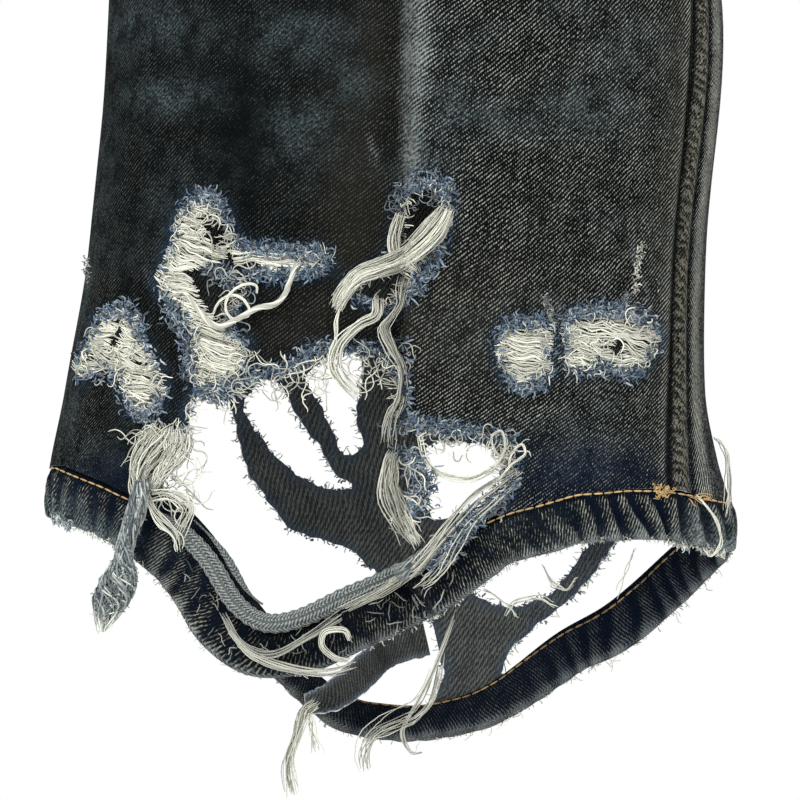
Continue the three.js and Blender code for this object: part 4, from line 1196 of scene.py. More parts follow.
def frayEdge(rng, outline, side="front", dense=1.0, keep=None, warpTone=(0.25, 2.1), reach=1.0):
    # dyed warp ends where the tear runs across, bare weft ends where it runs up and down
    groups = []
    place, inward = pointsOn(outline, frayLook["warpSpacing"] / dense)
    if keep is not None:
        chosen = keep(place)
        place, inward = place[chosen], inward[chosen]
    warpish = np.abs(inward[:, 1]) + rng.normal(0, 0.22, len(place)) > 0.42
    start, into = place[warpish], inward[warpish]
    back = rng.uniform(-0.6, frayLook["band"], len(start))[:, None] * rng.uniform(0.2, 1, (len(start), 1))
    start = start - into * back
    heading = np.arctan2(into[:, 1], into[:, 0]) + rng.normal(0, 0.9, len(start))
    length = rng.uniform(*frayLook["warpLength"], len(start)) * reach
    curl = rng.normal(0, 0.8, len(start))
    path = wander(rng, start, heading, length, 5, curl, 0.40, (0.3, 1.5))
    indigo = np.clip(rng.normal(0.92, 0.12, len(start)), 0.5, 1)
    groups.append(tubeGroup(onLeg(path, side), frayLook["warpRadius"] * rng.uniform(0.7, 1.25, len(start)),
                            indigo,
                            rng.uniform(*warpTone, len(start))))
    place, inward = pointsOn(outline, frayLook["weftSpacing"] / dense)
    if keep is not None:
        chosen = keep(place)
        place, inward = place[chosen], inward[chosen]
    weftish = np.abs(inward[:, 0]) + rng.normal(0, 0.25, len(place)) > 0.45
    start, into = place[weftish], inward[weftish]
    start = start - into * rng.uniform(-0.2, 1.2, (len(start), 1))
    heading = np.arctan2(into[:, 1], into[:, 0]) * 1.0 + rng.normal(0, 0.55, len(start))
    path = wander(rng, start, heading, rng.uniform(*frayLook["weftLength"], len(start)) * reach, 7,
                  rng.normal(0, 0.30, len(start)), 0.22, (0.2, 1.6))
    groups.append(tubeGroup(onLeg(path, side), frayLook["weftRadius"] * rng.uniform(0.8, 1.3, len(start)),
                            np.clip(rng.normal(0.05, 0.08, len(start)), 0, 0.4),
                            rng.uniform(0.5, 1.1, len(start))))
    return groups


def weftRows(rng, outline, lean=0.0, spacing=0.55, wave=0.35, layers=2, broken=0.15, over=2.0,
             lift=(-0.8, 0.6),
             radius=0.23, sag=0.0, gaps=()):
    # bare weft threads across a worn patch, following its outline
    # lean is their slope, and gaps are (across, up, reach)
    shape = np.asarray(outline, float)
    middle = shape.mean(0)
    turned = np.array([[math.cos(lean), math.sin(lean)], [-math.sin(lean), math.cos(lean)]])
    local = (shape - middle) @ turned.T
    ends = []
    for layer in range(layers):
        for level in np.arange(local[:, 1].min() + 0.3 + spacing * layer / layers, local[:, 1].max() - 0.2,
                               spacing):
            after = np.roll(local, -1, 0)
            crosses = (local[:, 1] > level) != (after[:, 1] > level)
            a, b = local[crosses], after[crosses]
            at = np.sort(a[:, 0] + (level - a[:, 1]) * (b[:, 0] - a[:, 0]) / (b[:, 1] - a[:, 1]))
            for left, right in zip(at[::2], at[1::2]):
                if right - left < 1:
                    continue
                for gapX, gapUp, gapWide, gapTall in gaps:
                    near = 1 - ((level - ((np.array([gapX, gapUp]) - middle) @ turned.T)[1]) / gapTall)**2
                    if near > 0 and rng.random() < 0.9:
                        at0 = ((np.array([gapX, gapUp]) - middle) @ turned.T)[0]
                        reachIn = gapWide * math.sqrt(near) * rng.uniform(0.6, 1.2)
                        if left < at0 - reachIn - 0.5:
                            ends.append((left - rng.uniform(0, over), at0 - reachIn, level))
                        left = max(left, at0 + reachIn)
                if right - left < 1:
                    continue
                left, right = left - rng.uniform(0, over), right + rng.uniform(0, over)
                if rng.random() < broken:
                    cutAt = rng.uniform(left, right)
                    left, right = (left, cutAt) if rng.random() < 0.5 else (cutAt, right)
                ends.append((left, right, level))
    ends = np.array(ends)
    share = np.linspace(0, 1, 12)[None]
    across = ends[:, :1] + (ends[:, 1:2] - ends[:, :1]) * share
    count = len(ends)
    seed = rng.integers(0, 50)
    bend = softNoise(across * 0.55, ends[:, 2:3] * 0.5, seed) * wave * 2.4
    bend = (bend + np.sin(across * 1.3 + rng.uniform(0, 6.28, (count, 1))) * wave * 0.3
            + sag * np.square(2 * share - 1))
    up = ends[:, 2:3] + bend + rng.normal(0, 0.5, (count, 1)) * (share - 0.5) * 2
    raised = (rng.uniform(*lift, (count, 1)) * np.sin(math.pi * share) + 0.25
              + 0.15 * np.sin(across * 1.7 + up))
    flat = np.stack([across, up], -1) @ turned + middle
    path = np.concatenate([flat, raised[..., None]], -1)
    return [tubeGroup(onLeg(path), radius * rng.uniform(0.8, 1.2, count),
                      np.clip(rng.normal(0.04, 0.05, count), 0, 0.3),
                      0.62 + 0.28 * softNoise(ends[:, 2] * 1.7, ends[:, 0] * 0.2, 3)
                      + rng.uniform(0, 0.5, count), sides=4)]


def yarnRope(rng, points, radius, strands=5, twist=0.9, count=46, spread=0.55, indigo=0.03, tone=(0.8, 1.05),
             side="front"):
    # a thick yarn of several strands wound round one another; points are across, up, lift
    spine = smoothPath(points, count)
    gone = lengthAlong(spine)
    paths = []
    for k in range(strands):
        phase = (2 * math.pi * k / strands + gone * twist
                 + 0.5 * softNoise(gone * 0.5, np.full(count, float(k)), k))
        width = radius * spread * (1 + 0.25 * softNoise(gone * 0.3, np.full(count, k + 5.0), 3))
        run = np.gradient(spine[:, :2], axis=0)
        run /= np.linalg.norm(run, axis=1, keepdims=True) + 1e-9
        normal = np.stack([-run[:, 1], run[:, 0]], -1)
        flat = spine[:, :2] + normal * (np.cos(phase) * width)[:, None]
        paths.append(np.concatenate([flat, (spine[:, 2] + np.sin(phase) * width)[:, None]], -1))
    return [tubeGroup(onLeg(np.array(paths), side), radius * 0.5, np.full(strands, indigo),
                      rng.uniform(*tone, strands), sides=5)]


def bundle(rng, points, width, threads, count=26, radius=0.2, stray=1.0, indigo=0.05, tone=(0.7, 1.1),
           side="front"):
    # threads that run together along a path and part at its end; width in mm at start, middle and end
    whole = smoothPath(points, 160)
    paths = []
    for k in range(threads):
        place = rng.uniform(-1, 1)
        depth = rng.uniform(-0.5, 0.5)
        share = np.linspace(rng.uniform(0, 0.07), 1 - rng.uniform(0, 0.16) * rng.random(), count)
        spine = np.stack([np.interp(share, np.linspace(0, 1, 160), whole[:, i]) for i in range(3)], -1)
        breadth = np.interp(share, np.linspace(0, 1, len(width)), width)
        drift = np.cumsum(rng.normal(0, 0.10 * stray, count)) * share
        run = np.gradient(spine[:, :2], axis=0)
        run /= np.linalg.norm(run, axis=1, keepdims=True) + 1e-9
        normal = np.stack([-run[:, 1], run[:, 0]], -1)
        off = place * breadth * 0.5 + 0.25 * stray * np.sin(share * rng.uniform(6, 16)
                                                            + rng.uniform(0, 6)) + drift
        along_ = run * (rng.uniform(-1.5, 1.5) * share)[:, None]
        flat = spine[:, :2] + normal * off[:, None] + along_
        paths.append(np.concatenate([flat, (spine[:, 2] + depth * breadth * 0.5)[:, None]], -1))
    return [tubeGroup(onLeg(np.array(paths), side), radius * rng.uniform(0.8, 1.25, threads),
                      np.clip(rng.normal(indigo, 0.06, threads), 0, 1), rng.uniform(*tone, threads), sides=3)]


def wool(rng, points, width, count, length=(1.5, 4), radius=0.27, indigo=(0.8, 1), tone=(0.35, 2.4),
         lift=(0.3, 2.0),
         side="front", curl=0.8):
    # a soft clump of short curly ends along a path; the path's third number is added to the lift
    spine = smoothPath(points, 60)
    pick = rng.integers(0, 60, count)
    start = spine[pick, :2] + rng.normal(0, 0.42, (count, 2)) * width
    path = wander(rng, start, rng.uniform(0, 6.28, count), rng.uniform(*length, count), 5,
                  rng.normal(0, curl, count), 0.4,
                  lift)
    path[..., 2] += spine[pick, 2][:, None]
    return [tubeGroup(onLeg(path, side), radius * rng.uniform(0.7, 1.2, count), rng.uniform(*indigo, count),
                      rng.uniform(*tone, count))]


def curls(rng, box, count, length=(6, 14), curl=(0.3, 0.7), heading=(0, 6.28), lift=(0.4, 2.5), radius=0.19,
          indigo=0.04, tone=(0.45, 1.12), wobble=0.16, side="front"):
    # looping threads that start anywhere in a box of across and up
    start = np.stack([rng.uniform(box[0], box[1], count), rng.uniform(box[2], box[3], count)], -1)
    turning = rng.uniform(*curl, count) * rng.choice([-1, 1], count)
    path = wander(rng, start, rng.uniform(*heading, count), rng.uniform(*length, count), 14, turning, wobble,
                  lift)
    return [tubeGroup(onLeg(path, side), radius * rng.uniform(0.9, 1.3, count), np.full(count, indigo),
                      rng.uniform(*tone, count), sides=3)]


rng = np.random.default_rng(7)
sagLimit = lambda place: (place[:, 1] > 2) & ~((place[:, 1] < 8) & (place[:, 0] < -69))
frayFront = frayEdge(rng, frontOutlines[0], keep=sagLimit)
for outline in frontOutlines[1:]:
    frayFront += frayEdge(rng, outline, dense=1.15)
frayOfFront = threadPiece("frayFront", frayFront)
frayBackGroups = []
for outline in backOutlines[:6]:
    frayBackGroups += frayEdge(rng, outline, "back", dense=0.42, warpTone=(0.7, 2.2), reach=0.5,
                               keep=lambda place: place[:, 1] > leftHemTop(hemAngleAt(place[:, 0], "back"))
                               - jeansCut["hemLevel"] + 1)
frayOfBack = threadPiece("frayBack", frayBackGroups)

# the worn patches: parts of the tears still crossed by weft
weftPlan = {
    "branchColumn": [(-54.5, 97.5), (-49.5, 94.5), (-47.5, 92), (-52, 92.5), (-55.5, 92), (-56, 88.5),
                     (-54, 84), (-52, 82), (-47, 82), (-49.5, 78), (-56, 77), (-59.5, 74), (-56.5, 66.5),
                     (-52.5, 60.5), (-46.5, 56), (-42, 51.5), (-44, 45), (-49.5, 39.5), (-54, 37.5),
                     (-57.5, 42.5), (-57.5, 51.5), (-59, 60.5), (-64.5, 66.5), (-69, 72.5), (-66.5, 78),
                     (-63.5, 85), (-62.5, 90.5), (-59.5, 95.5)],
    "branchSlit": [(-46.5, 82), (-37.5, 81.5), (-29, 80.5), (-19, 81), (-16, 78), (-20.5, 76), (-29, 75),
                   (-37.5, 76.5), (-44, 78)],
}
patches = []
patches += weftRows(rng, frontRips["innerPatch"], lean=-0.38, over=1.8, sag=0.8, wave=0.45,
                    gaps=[(-81.5, 54.5, 1.8, 4.5), (-80.5, 60.5, 1.3, 2)])
patches += weftRows(rng, weftPlan["branchColumn"], lean=-0.34, over=1.5, sag=0.9, wave=0.45)
patches += weftRows(rng, weftPlan["branchSlit"], lean=-0.05, spacing=0.55, layers=2, wave=0.5, over=1.5)
patches += weftRows(rng, frontRips["smallPatch"], lean=-0.12, over=1.6, broken=0.05, wave=0.55)
patches += weftRows(rng, frontRips["widePatch"], lean=-0.22, over=1.6, broken=0.3, wave=0.7,
                    gaps=[(70.5, 51.5, 2.2, 2.4), (65, 47, 1.4, 2.5)])
weftPatches = threadPiece("weftPatches", patches)

# thick yarns, bundles and loops that hang in and out of the tears
loose = []
loose += yarnRope(rng, [(-59.5, 68, 0.4), (-56, 63, 1.6), (-52.5, 59.5, 2.2), (-49.5, 58.5, 2.4),
                        (-44, 61, 2.4),
                        (-38.5, 64, 2.2), (-33.5, 65, 2.0), (-30.5, 67.5, 1.8), (-29, 71, 1.4),
                        (-27.5, 75, 1), (-26, 78, 0.4)],
                  0.85, strands=6, twist=0.35, spread=0.6, tone=(0.5, 0.95))
loose += yarnRope(rng, [(-52, 62, 1.5), (-50, 66, 2), (-46, 68, 2.6), (-42, 66, 2.6), (-41, 62, 2.4),
                        (-46, 61, 2.2),
                        (-48, 64, 2.6), (-47, 68, 2.8), (-43, 71, 2.4), (-39, 71, 2), (-38.5, 68.5, 2)],
                  0.45, strands=3, twist=0.8, count=60)
loose += bundle(rng, [(19, 94.5, 0.8), (15.5, 88.5, 2.6), (10.5, 83, 3.4), (4.5, 78.5, 3.4), (-1.5, 76, 3),
                      (-7.5, 74, 2.6), (-12, 69.5, 2.2), (-15, 64, 1.8)], (5, 7.5, 6.5, 6, 5, 3.5, 3), 84,
                      stray=1.3,
                radius=0.17, tone=(0.5, 1.15))
loose += bundle(rng, [(5, 93, 1), (3, 86, 2), (4, 79, 2.6), (9, 74, 2)], (3, 4, 4, 3), 16, stray=0.8)
loose += bundle(rng, [(6, 75, 2), (5, 69.5, 2.4), (4.5, 65, 2.4), (1.5, 61, 2.6), (-0.5, 57.5, 2.8),
                      (2, 51.5, 2.6),
                      (5, 45, 2.2), (4.5, 36.5, 1.8), (2, 30.5, 1.6), (1, 22, 1.4)], (3, 2.6, 2.4, 2.4, 3),
                      15, stray=2.2,
                radius=0.17, tone=(0.4, 1.0))
loose += bundle(rng, [(-2, 68, 1.6), (-2.5, 62, 2.6), (-7.5, 59, 3), (-13.5, 53, 3), (-15, 47, 2.6),
                      (-12.5, 42.5, 2),
                      (-8, 38, 1.6)], (3, 3, 4, 3), 16, stray=1.2)
loose += bundle(rng, [(-12, 69, 2), (-14.5, 60, 2.2), (-15.5, 52, 2), (-17, 44, 1.6)], (1, 1, 3), 4,
                stray=1.2)
loose += bundle(rng, [(3, 21, 1), (1.5, 16.5, 2), (1, 10.5, 2.4), (3, 4, 2.2), (6, -2, 2), (9.5, -7, 1.6)],
                (3, 5, 6, 5, 3), 30, stray=1.8, tone=(0.4, 1.0))
loose += yarnRope(rng, [(40, 18, 1), (34, 20, 2), (32, 25, 2.4), (35, 27, 2.4), (36, 22, 2.4), (33, 16, 2.2),
                        (30, 14, 2)], 0.42,
                  strands=3, twist=0.8, tone=(0.5, 0.9))
loose += yarnRope(rng, [(37, 15, 1), (38, 20, 2), (41, 23, 2), (42, 20, 2.2), (38, 17, 2.4), (34, 12, 2)],
                  0.42, strands=3,
                  twist=0.8, tone=(0.5, 0.9))
loose += bundle(rng, [(41, 16, 0.8), (34, 11.5, 1.8), (26.5, 6.5, 2.4), (19.5, -1.5, 3.4), (14, -9, 4.8),
                      (8, -15, 5.4),
                      (-1.5, -21.5, 5.4), (-14, -28, 5)], (2, 3.2, 3.2, 3, 2.6, 2, 1.6), 16, stray=1.8,
                      tone=(0.4, 1.05))
loose += bundle(rng, [(39, 12, 0.8), (33, 6.5, 1.8), (25.5, 0.5, 3), (20, -8, 4.4), (15, -15, 5),
                      (9, -20, 5)],
                (3, 4, 4, 3, 2), 10, stray=1.8, tone=(0.35, 0.9))
loose += wool(rng, [(38, 12, 0.4), (31, 5, 1), (25, -1, 2.2), (21, -7, 3.2), (16, -13, 3.6)], 3.2, 420)
loose += wool(rng, [(5, 21, 0), (9, 17, 0), (12, 12, 0), (10, 6, 0.4), (6, 3, 0.6)], 4.0, 420,
              lift=(0.3, 1.6))
loose += curls(rng, (2, 12, 2, 22), 30, length=(6, 14), curl=(0.15, 0.5), heading=(4.2, 5.4), lift=(0.8, 2.6))
loose += wool(rng, [(16, 82, 0.5), (14, 76, 0.5), (9, 70, 0.5), (5, 66, 0.5)], 2.4, 160)
loose += bundle(rng, [(10, 27, 0.6), (12, 19, 0.4), (17, 14, 0.4), (27, 13, 0.4), (38, 19, 0.6)], (2, 2, 2),
                7, stray=0.8)
# fringe where the inner tear meets the tassel, and along the top of the main tear
loose += curls(rng, (-73, -58, 24, 31), 56, length=(7, 17), curl=(0.10, 0.45), heading=(3.6, 5.2),
               lift=(0.5, 3))
loose += curls(rng, (-73, -60, 8, 14), 26, length=(8, 15), curl=(0.10, 0.40), heading=(5.4, 6.5), lift=(2, 5))
loose += curls(rng, (-55, -20, 38, 52), 46, length=(5, 15), curl=(0.15, 0.6), heading=(4.0, 5.6),
               lift=(0.3, 2.5))
loose += curls(rng, (-20, 4, 42, 54), 34, length=(6, 16), curl=(0.2, 0.6), heading=(3.9, 5.6),
               lift=(0.3, 2.5))
loose += curls(rng, (-60, -47, 78, 92), 22, length=(5, 12), curl=(0.35, 0.8), heading=(5.0, 7.2),
               lift=(0.8, 2.6))
loose += curls(rng, (-57, -42, 60, 74), 14, length=(5, 12), curl=(0.35, 0.8), lift=(0.5, 2.2), indigo=0.5)
loose += curls(rng, (-88, -73, 41, 58), 26, length=(4, 9), curl=(0.3, 0.8), lift=(0.6, 2))
loose += curls(rng, (55, 82, 46, 60), 34, length=(4, 9), curl=(0.3, 0.8), lift=(0.6, 2))
loose += curls(rng, (10, 40, 20, 28), 34, length=(4, 10), curl=(0.3, 0.7), heading=(3.8, 5.8),
               lift=(0.4, 2.4))
loose += curls(rng, (2, 18, 92, 100), 26, length=(4, 8), curl=(0.4, 0.9), lift=(0.5, 2.2), indigo=0.8)
# dyed wool along the edges that cut across the warp
edgeWool = []
for path, count, width in (
        ([(4, 97, 0.2), (8, 101, 0.2), (17, 101.5, 0.2), (19, 96, 0.2)], 240, 2.8),
        ([(54, 60, 0), (60, 63.5, 0), (70, 63.5, 0), (80, 60.5, 0)], 280, 2.2),
        ([(64, 46.5, 0), (70, 45, 0), (77, 44, 0)], 120, 2),
        ([(35, 57.5, 0), (40, 60.5, 0), (48, 60, 0)], 130, 2),
        ([(37, 42.5, 0), (42, 39.8, 0), (48, 41.5, 0)], 110, 2),
        ([(-89, 58, 0), (-82, 64.5, 0), (-76, 62, 0), (-74, 55, 0)], 230, 2.4),
        ([(-68, 37, 0), (-72, 31.5, 0), (-78, 34, 0)], 160, 2.2),
        ([(-57, 98, 0), (-52, 98, 0), (-48, 92, 0)], 150, 2),
        ([(-44, 83, 0), (-30, 81.5, 0), (-17, 80.5, 0)], 280, 2),
        ([(-18, 75.5, 0), (-30, 74, 0), (-41, 74.5, 0)], 210, 2),
        ([(-57, 78, -1), (-51, 76, -1), (-45, 72, -1)], 150, 4),
        ([(-66, 66, 0), (-60, 53, 0), (-59, 42, 0)], 230, 2.6),
        ([(-56, 40, 0), (-45, 42, 0), (-28, 46.5, 0), (-20, 52, 0), (-3, 52, 0)], 380, 2.6),
        ([(1, 27.5, 0), (8, 29.5, 0), (20, 27.5, 0), (38, 25.5, 0)], 400, 2.4),
        ([(5, 55, 0), (6, 42, 0), (6, 31, 0)], 150, 1.6)):
    edgeWool += wool(rng, path, width, count, length=(1.4, 3.4), radius=0.3, tone=(0.25, 2.1),
                     lift=(0.3, 1.4))
woolOfEdges = threadPiece("edgeWool", edgeWool)

# rubbed scratches with a little fuzz on them
for path, count, dyed in (([(77.8, 84, 0), (76.6, 77, 0), (75.6, 69, 0)], 90, (0, 0.5)),
                          ([(73, 69, 0), (72.5, 64, 0)], 50, (0.5, 1)),
                          ([(83, 73, 0), (84, 70, 0)], 30, (0.3, 1)),
                          ([(48, 68, 0), (49.5, 64, 0), (51.5, 58, 0)], 90, (0.3, 1)),
                          ([(-91.5, 80, 0), (-91, 73, 0)], 30, (0.3, 1))):
    loose += wool(rng, path, 0.9, count, length=(0.8, 2.2), radius=0.2, indigo=dyed, tone=(0.3, 1.1),
                  lift=(0, 0.3))
hangingYarn = threadPiece("hangingYarn", loose)
print("threads made")


# the rolled frayed tassel at the inner front
tasselPlan = {
    "path": [(-73, 12, 2.0), (-75, 3, 2.6), (-78, -6, 2.4), (-79, -11.5, 2.7), (-80.2, -17.5, 5.0),
             (-82.6, -24.5, 4.9), (-85.5, -33, 1.1)],
    "before": 36,
}


def tasselPiece(name):
    spine = smoothPath(tasselPlan["path"], 60)
    turn = np.linspace(0, 2 * math.pi, 20, endpoint=False)[None]
    gone = lengthAlong(spine[:, :2])[:, None]
    lump = 0.84 + 0.09 * np.sin(3 * turn + gone * 0.35) + 0.07 * softNoise(gone / 2, turn * 2, 4)
    size = np.maximum(spine[:, 2:3], 0.6) * lump
    y = float(along(legRings, "z", "y", jeansCut["hemLevel"])) - tasselPlan["before"]
    rings = np.stack([jeansCut["legCentre"] + spine[:, :1] + np.cos(turn) * size, y + np.sin(turn) * size,
                      jeansCut["hemLevel"] + spine[:, 1:2] + 0 * turn], -1)
    piece = loft(name, rings, [greyYarn], marks={"indigo": np.full(rings.shape[:2], 0.75),
                                                 "tone": np.full(rings.shape[:2], 0.8)})
    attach(piece, "root")
    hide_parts("torn_tassel_left")
    return piece


def tasselThreads(rng, count=110):
    spine = smoothPath(tasselPlan["path"], 44)
    share = np.linspace(0, 1, 44)
    y = float(along(legRings, "z", "y", jeansCut["hemLevel"])) - tasselPlan["before"]
    paths = []
    for k in range(count):
        phase = rng.uniform(0, 6.28) + share * rng.normal(5.5, 1.2) + 0.4 * np.sin(share * rng.uniform(8, 22)
                                                                                   + k)
        size = spine[:, 2] * rng.uniform(0.9, 1.12) + 0.15 * np.sin(share * 40 + k)
        shift = rng.uniform(-0.5, 0.5)
        paths.append(np.stack([jeansCut["legCentre"] + spine[:, 0] + np.cos(phase) * size,
                               y + np.sin(phase) * size,
                               jeansCut["hemLevel"] + spine[:, 1] + shift], -1))
    dyed = np.clip(rng.normal(0.55, 0.3, (count, 1)) - 0.9 * ease(share, 0.84, 1)[None], 0, 1)
    tone = rng.uniform(0.45, 1.5, (count, 1)) * (1 + 0.5 * ease(share, 0.9, 1)[None])
    return tubeGroup(np.array(paths), rng.uniform(0.22, 0.36, count), dyed, tone, sides=3)


def tasselEnds(rng, count=240):
    # loose ends that curl off the rolled part
    spine = smoothPath(tasselPlan["path"], 60)
    pick = rng.choice(60, count, p=(spine[:, 2]**2 / (spine[:, 2]**2).sum()))
    turn = rng.uniform(-0.5, math.pi + 0.5, count)
    start = np.stack([spine[pick, 0] + np.cos(turn) * spine[pick, 2] * 0.95, spine[pick, 1]], -1)
    path = wander(rng, start, rng.uniform(0, 6.28, count), rng.uniform(1, 2.6, count), 5,
                  rng.normal(0, 1.1, count), 0.4)
    y = float(along(legRings, "z", "y", jeansCut["hemLevel"])) - tasselPlan["before"]
    near = y - np.abs(np.sin(turn)) * spine[pick, 2]
    world = np.stack([jeansCut["legCentre"] + path[..., 0], near[:, None] - path[..., 2],
                      jeansCut["hemLevel"] + path[..., 1]], -1)
    dyed = np.clip(rng.normal(0.7, 0.3, count) - 0.8 * (pick > 52), 0, 1)
    return tubeGroup(world, rng.uniform(0.18, 0.28, count), dyed, rng.uniform(0.4, 1.5, count))


tasselCore = tasselPiece("tassel")
tasselYarn = threadPiece("tasselYarn", [tasselThreads(rng), tasselEnds(rng)], greyYarn)


# fuzz and stitches that follow the hems
def hemPlacer(half):
    angles = np.linspace(1, 179, 600) + (0 if half == "front" else 180)
    at, down, out = hemFrame(angles, frontHemPath if half == "front" else backHemPath)
    gone = lengthAlong(at)

    def place(u, drop, offset):
        pick = lambda table: np.stack([np.interp(u, gone, table[:, k]) for k in range(3)], -1)
        return pick(at) + pick(down) * np.asarray(drop)[..., None] + pick(out) * np.asarray(offset)[..., None]
    return place, at[:, 0] - jeansCut["legCentre"], gone


def hemFuzz(rng, half, start, end, count, length=(0.8, 2.4), radius=0.15, indigo=0.25, tone=(0.8, 1.3),
            heading=(0.3, 2.8),
            drop=(13.2, 15.2), out=-1.1):
    place, x, gone = hemPlacer(half)
    order = np.argsort(x)
    u0, u1 = np.interp([start, end], x[order], gone[order])
    origin = np.stack([rng.uniform(min(u0, u1), max(u0, u1), count), rng.uniform(*drop, count)], -1)
    path = wander(rng, origin, rng.uniform(*heading, count), rng.uniform(*length, count), 5,
                  rng.normal(0, 0.3, count),
                  0.3, (-0.3, 1.0))
    world = place(path[..., 0], path[..., 1], path[..., 2] + out)
    return tubeGroup(world, radius * rng.uniform(0.8, 1.3, count),
                     np.clip(rng.normal(indigo, 0.2, count), 0, 1),
                     rng.uniform(*tone, count))


edgeFuzz = [
    hemFuzz(rng, "front", -103, -68, 300, indigo=0.5, tone=(0.9, 1.6)),
    hemFuzz(rng, "front", -68, 20, 200, (0.8, 2.0), indigo=0.3),
    hemFuzz(rng, "front", 20, 104, 360, (0.5, 1.5), indigo=0.2, tone=(0.45, 0.9)),
    hemFuzz(rng, "front", 88, 105, 130, (1.2, 3), 0.24, 0.45, (0.6, 1.5)),
    hemFuzz(rng, "back", -100, 104, 380, (0.8, 2.2), indigo=0.4, tone=(0.7, 1.3)),
    hemFuzz(rng, "back", -30, 98, 26, (3, 7), indigo=0.05),
    hemFuzz(rng, "front", -104, -92, 220, (1.5, 3.5), 0.27, 0.75, (0.6, 2.2)),
]
hemFringe = threadPiece("hemFringe", edgeFuzz)

hanging = []
hanging += bundle(rng, [(21.8, -26.4, -8), (17.6, -37.9, -8), (13.6, -47.6, -8), (6.7, -60.6, -8),
                        (5.5, -65, -8),
                        (7.6, -69, -8), (10.5, -69.5, -8)], (1.0, 1.2, 1.4, 1.6, 1), 5, radius=0.26,
                        stray=0.6, tone=(0.4, 0.7))
hanging += bundle(rng, [(16.7, -39.4, -9), (13, -51.5, -9), (7.6, -58, -9), (0, -62, -9), (-4.5, -65.5, -9),
                        (-6.5, -71, -9),
                        (-5.8, -76, -9)], (2, 6, 6, 4, 2, 1), 12, stray=2.0, tone=(0.4, 0.85))
hanging += bundle(rng, [(-20.3, -54.5, -12), (-24.5, -58, -12), (-27, -65, -12), (-29.5, -74, -12),
                        (-28.5, -84, -12)],
                  (3, 4, 3, 2.5, 5), 20, stray=1.5, tone=(0.5, 0.95))
hanging += bundle(rng, [(-22.7, -58, -12), (-22, -63, -12), (-20.3, -70, -12)], (2, 2, 3), 8, tone=(0.6, 1.0))
hanging += bundle(rng, [(47, -13, -6), (50.6, -19, -6), (54.8, -21.2, -6), (58.2, -17.3, -6)], (1, 1.5, 1), 4,
                  tone=(0.6, 0.95))
hanging += bundle(rng, [(36, -29, -6), (40, -24.2, -6), (47, -23.6, -6), (52, -25.5, -6)], (1, 1, 1), 3,
                  tone=(0.55, 0.85))
hanging += bundle(rng, [(75.8, -8.2, -6), (73, -15.2, -6), (70, -23, -6)], (0.5, 0.8, 0.5), 2,
                  tone=(0.6, 0.8))
hanging += bundle(rng, [(29, -20, -4), (36, -24, -4), (40, -28.5, -4)], (0.8, 1.5, 1), 3, tone=(0.6, 0.9))
hanging += bundle(rng, [(100.3, 25, 0), (103.5, 23, 0), (105.2, 18.2, 0), (105.5, 9, 0), (104.5, 0.5, 1)],
                  (1.2, 2, 1.6, 2), 7,
                  tone=(0.55, 0.9))
hanging += bundle(rng, [(94, 7.5, 3), (97.5, 4, 4), (101, -1.5, 4), (101.8, -7, 4), (99, -10.5, 4),
                        (97.6, -9, 4)],
                  (0.8, 1, 1), 4, tone=(0.8, 1.0))
hanging += bundle(rng, [(-66, 28, 1), (-70, 23, 2.4), (-74, 17, 3.4), (-75, 10, 4.4), (-73, 6, 5)],
                  (10, 9, 5, 2.5), 40,
                  stray=1.7, tone=(0.45, 1.1))
hanging += bundle(rng, [(-62, 28, 1), (-63.5, 21, 2.5), (-67, 15, 4), (-71, 9, 5)], (9, 8, 4, 2), 34,
                  stray=1.9,
                  tone=(0.45, 1.1))
hanging += bundle(rng, [(-71, 8, 6), (-64, 8.5, 5.5), (-58.5, 4, 5), (-62, -4, 5)], (4, 6, 4), 12, stray=1.2,
                  tone=(0.6, 1))
hanging += bundle(rng, [(-73, 11, 6), (-69, 2, 6), (-63, -4, 6), (-62, -9, 6)], (2, 4, 2), 9, stray=1.2,
                  tone=(0.6, 1))
hanging += bundle(rng, [(-12, -27, 5), (-22, -34, 4.6), (-34, -40, 4.4), (-43, -37, 4.2), (-49, -28, 4)],
                  (3, 2, 2.4, 2), 12,
                  stray=0.8, indigo=0.2, tone=(0.5, 0.85))
hanging += bundle(rng, [(-47, -33, 4.5), (-40, -40, 4.5), (-30, -44, 4.2), (-18, -45.5, 4), (-8, -43, 4)],
                  (1.5, 2.6, 2), 14,
                  stray=1.0, tone=(0.45, 0.95))
hanging += bundle(rng, [(-10, -42, 4), (-15, -41, 5), (-19, -37.5, 5.4), (-18, -33.5, 5.4), (-12.5, -33, 5),
                        (-10.5, -36, 4.4)],
                  (1.4, 1.8, 1.4), 10, stray=0.5, radius=0.2, tone=(0.55, 1.0))
hanging.append(hemFuzz(rng, "front", -58, 16, 60, (2.5, 6), 0.19, 0.4, (0.3, 0.8), (0, 6.28), (2, 12.5), 1.6))
hangingThreads = threadPiece("hangingThreads", hanging)


stitchLook = {"length": 2.75, "gap": 0.45, "radius": 0.30, "rise": 0.28}


def dashes(rng, line, wobble=0.12):
    # short stitches along a line of world points in mm
    gone = lengthAlong(line)
    starts = np.arange(0.2, gone[-1] - stitchLook["length"], stitchLook["length"] + stitchLook["gap"])
    at = starts[:, None] + np.linspace(0, stitchLook["length"],
                                       4)[None] + rng.normal(0, wobble, (len(starts), 1))
    return np.stack([np.interp(at, gone, line[:, k]) for k in range(3)], -1)


def stitchGroup(rng, line, tone=(0.75, 1.15), dirt=0.15, sides=4):
    path = dashes(rng, line)
    count = len(path)
    return tubeGroup(path, stitchLook["radius"], np.clip(rng.normal(dirt, 0.15, count), 0, 1),
                     rng.uniform(*tone, count), sides=sides, taper=0.5)


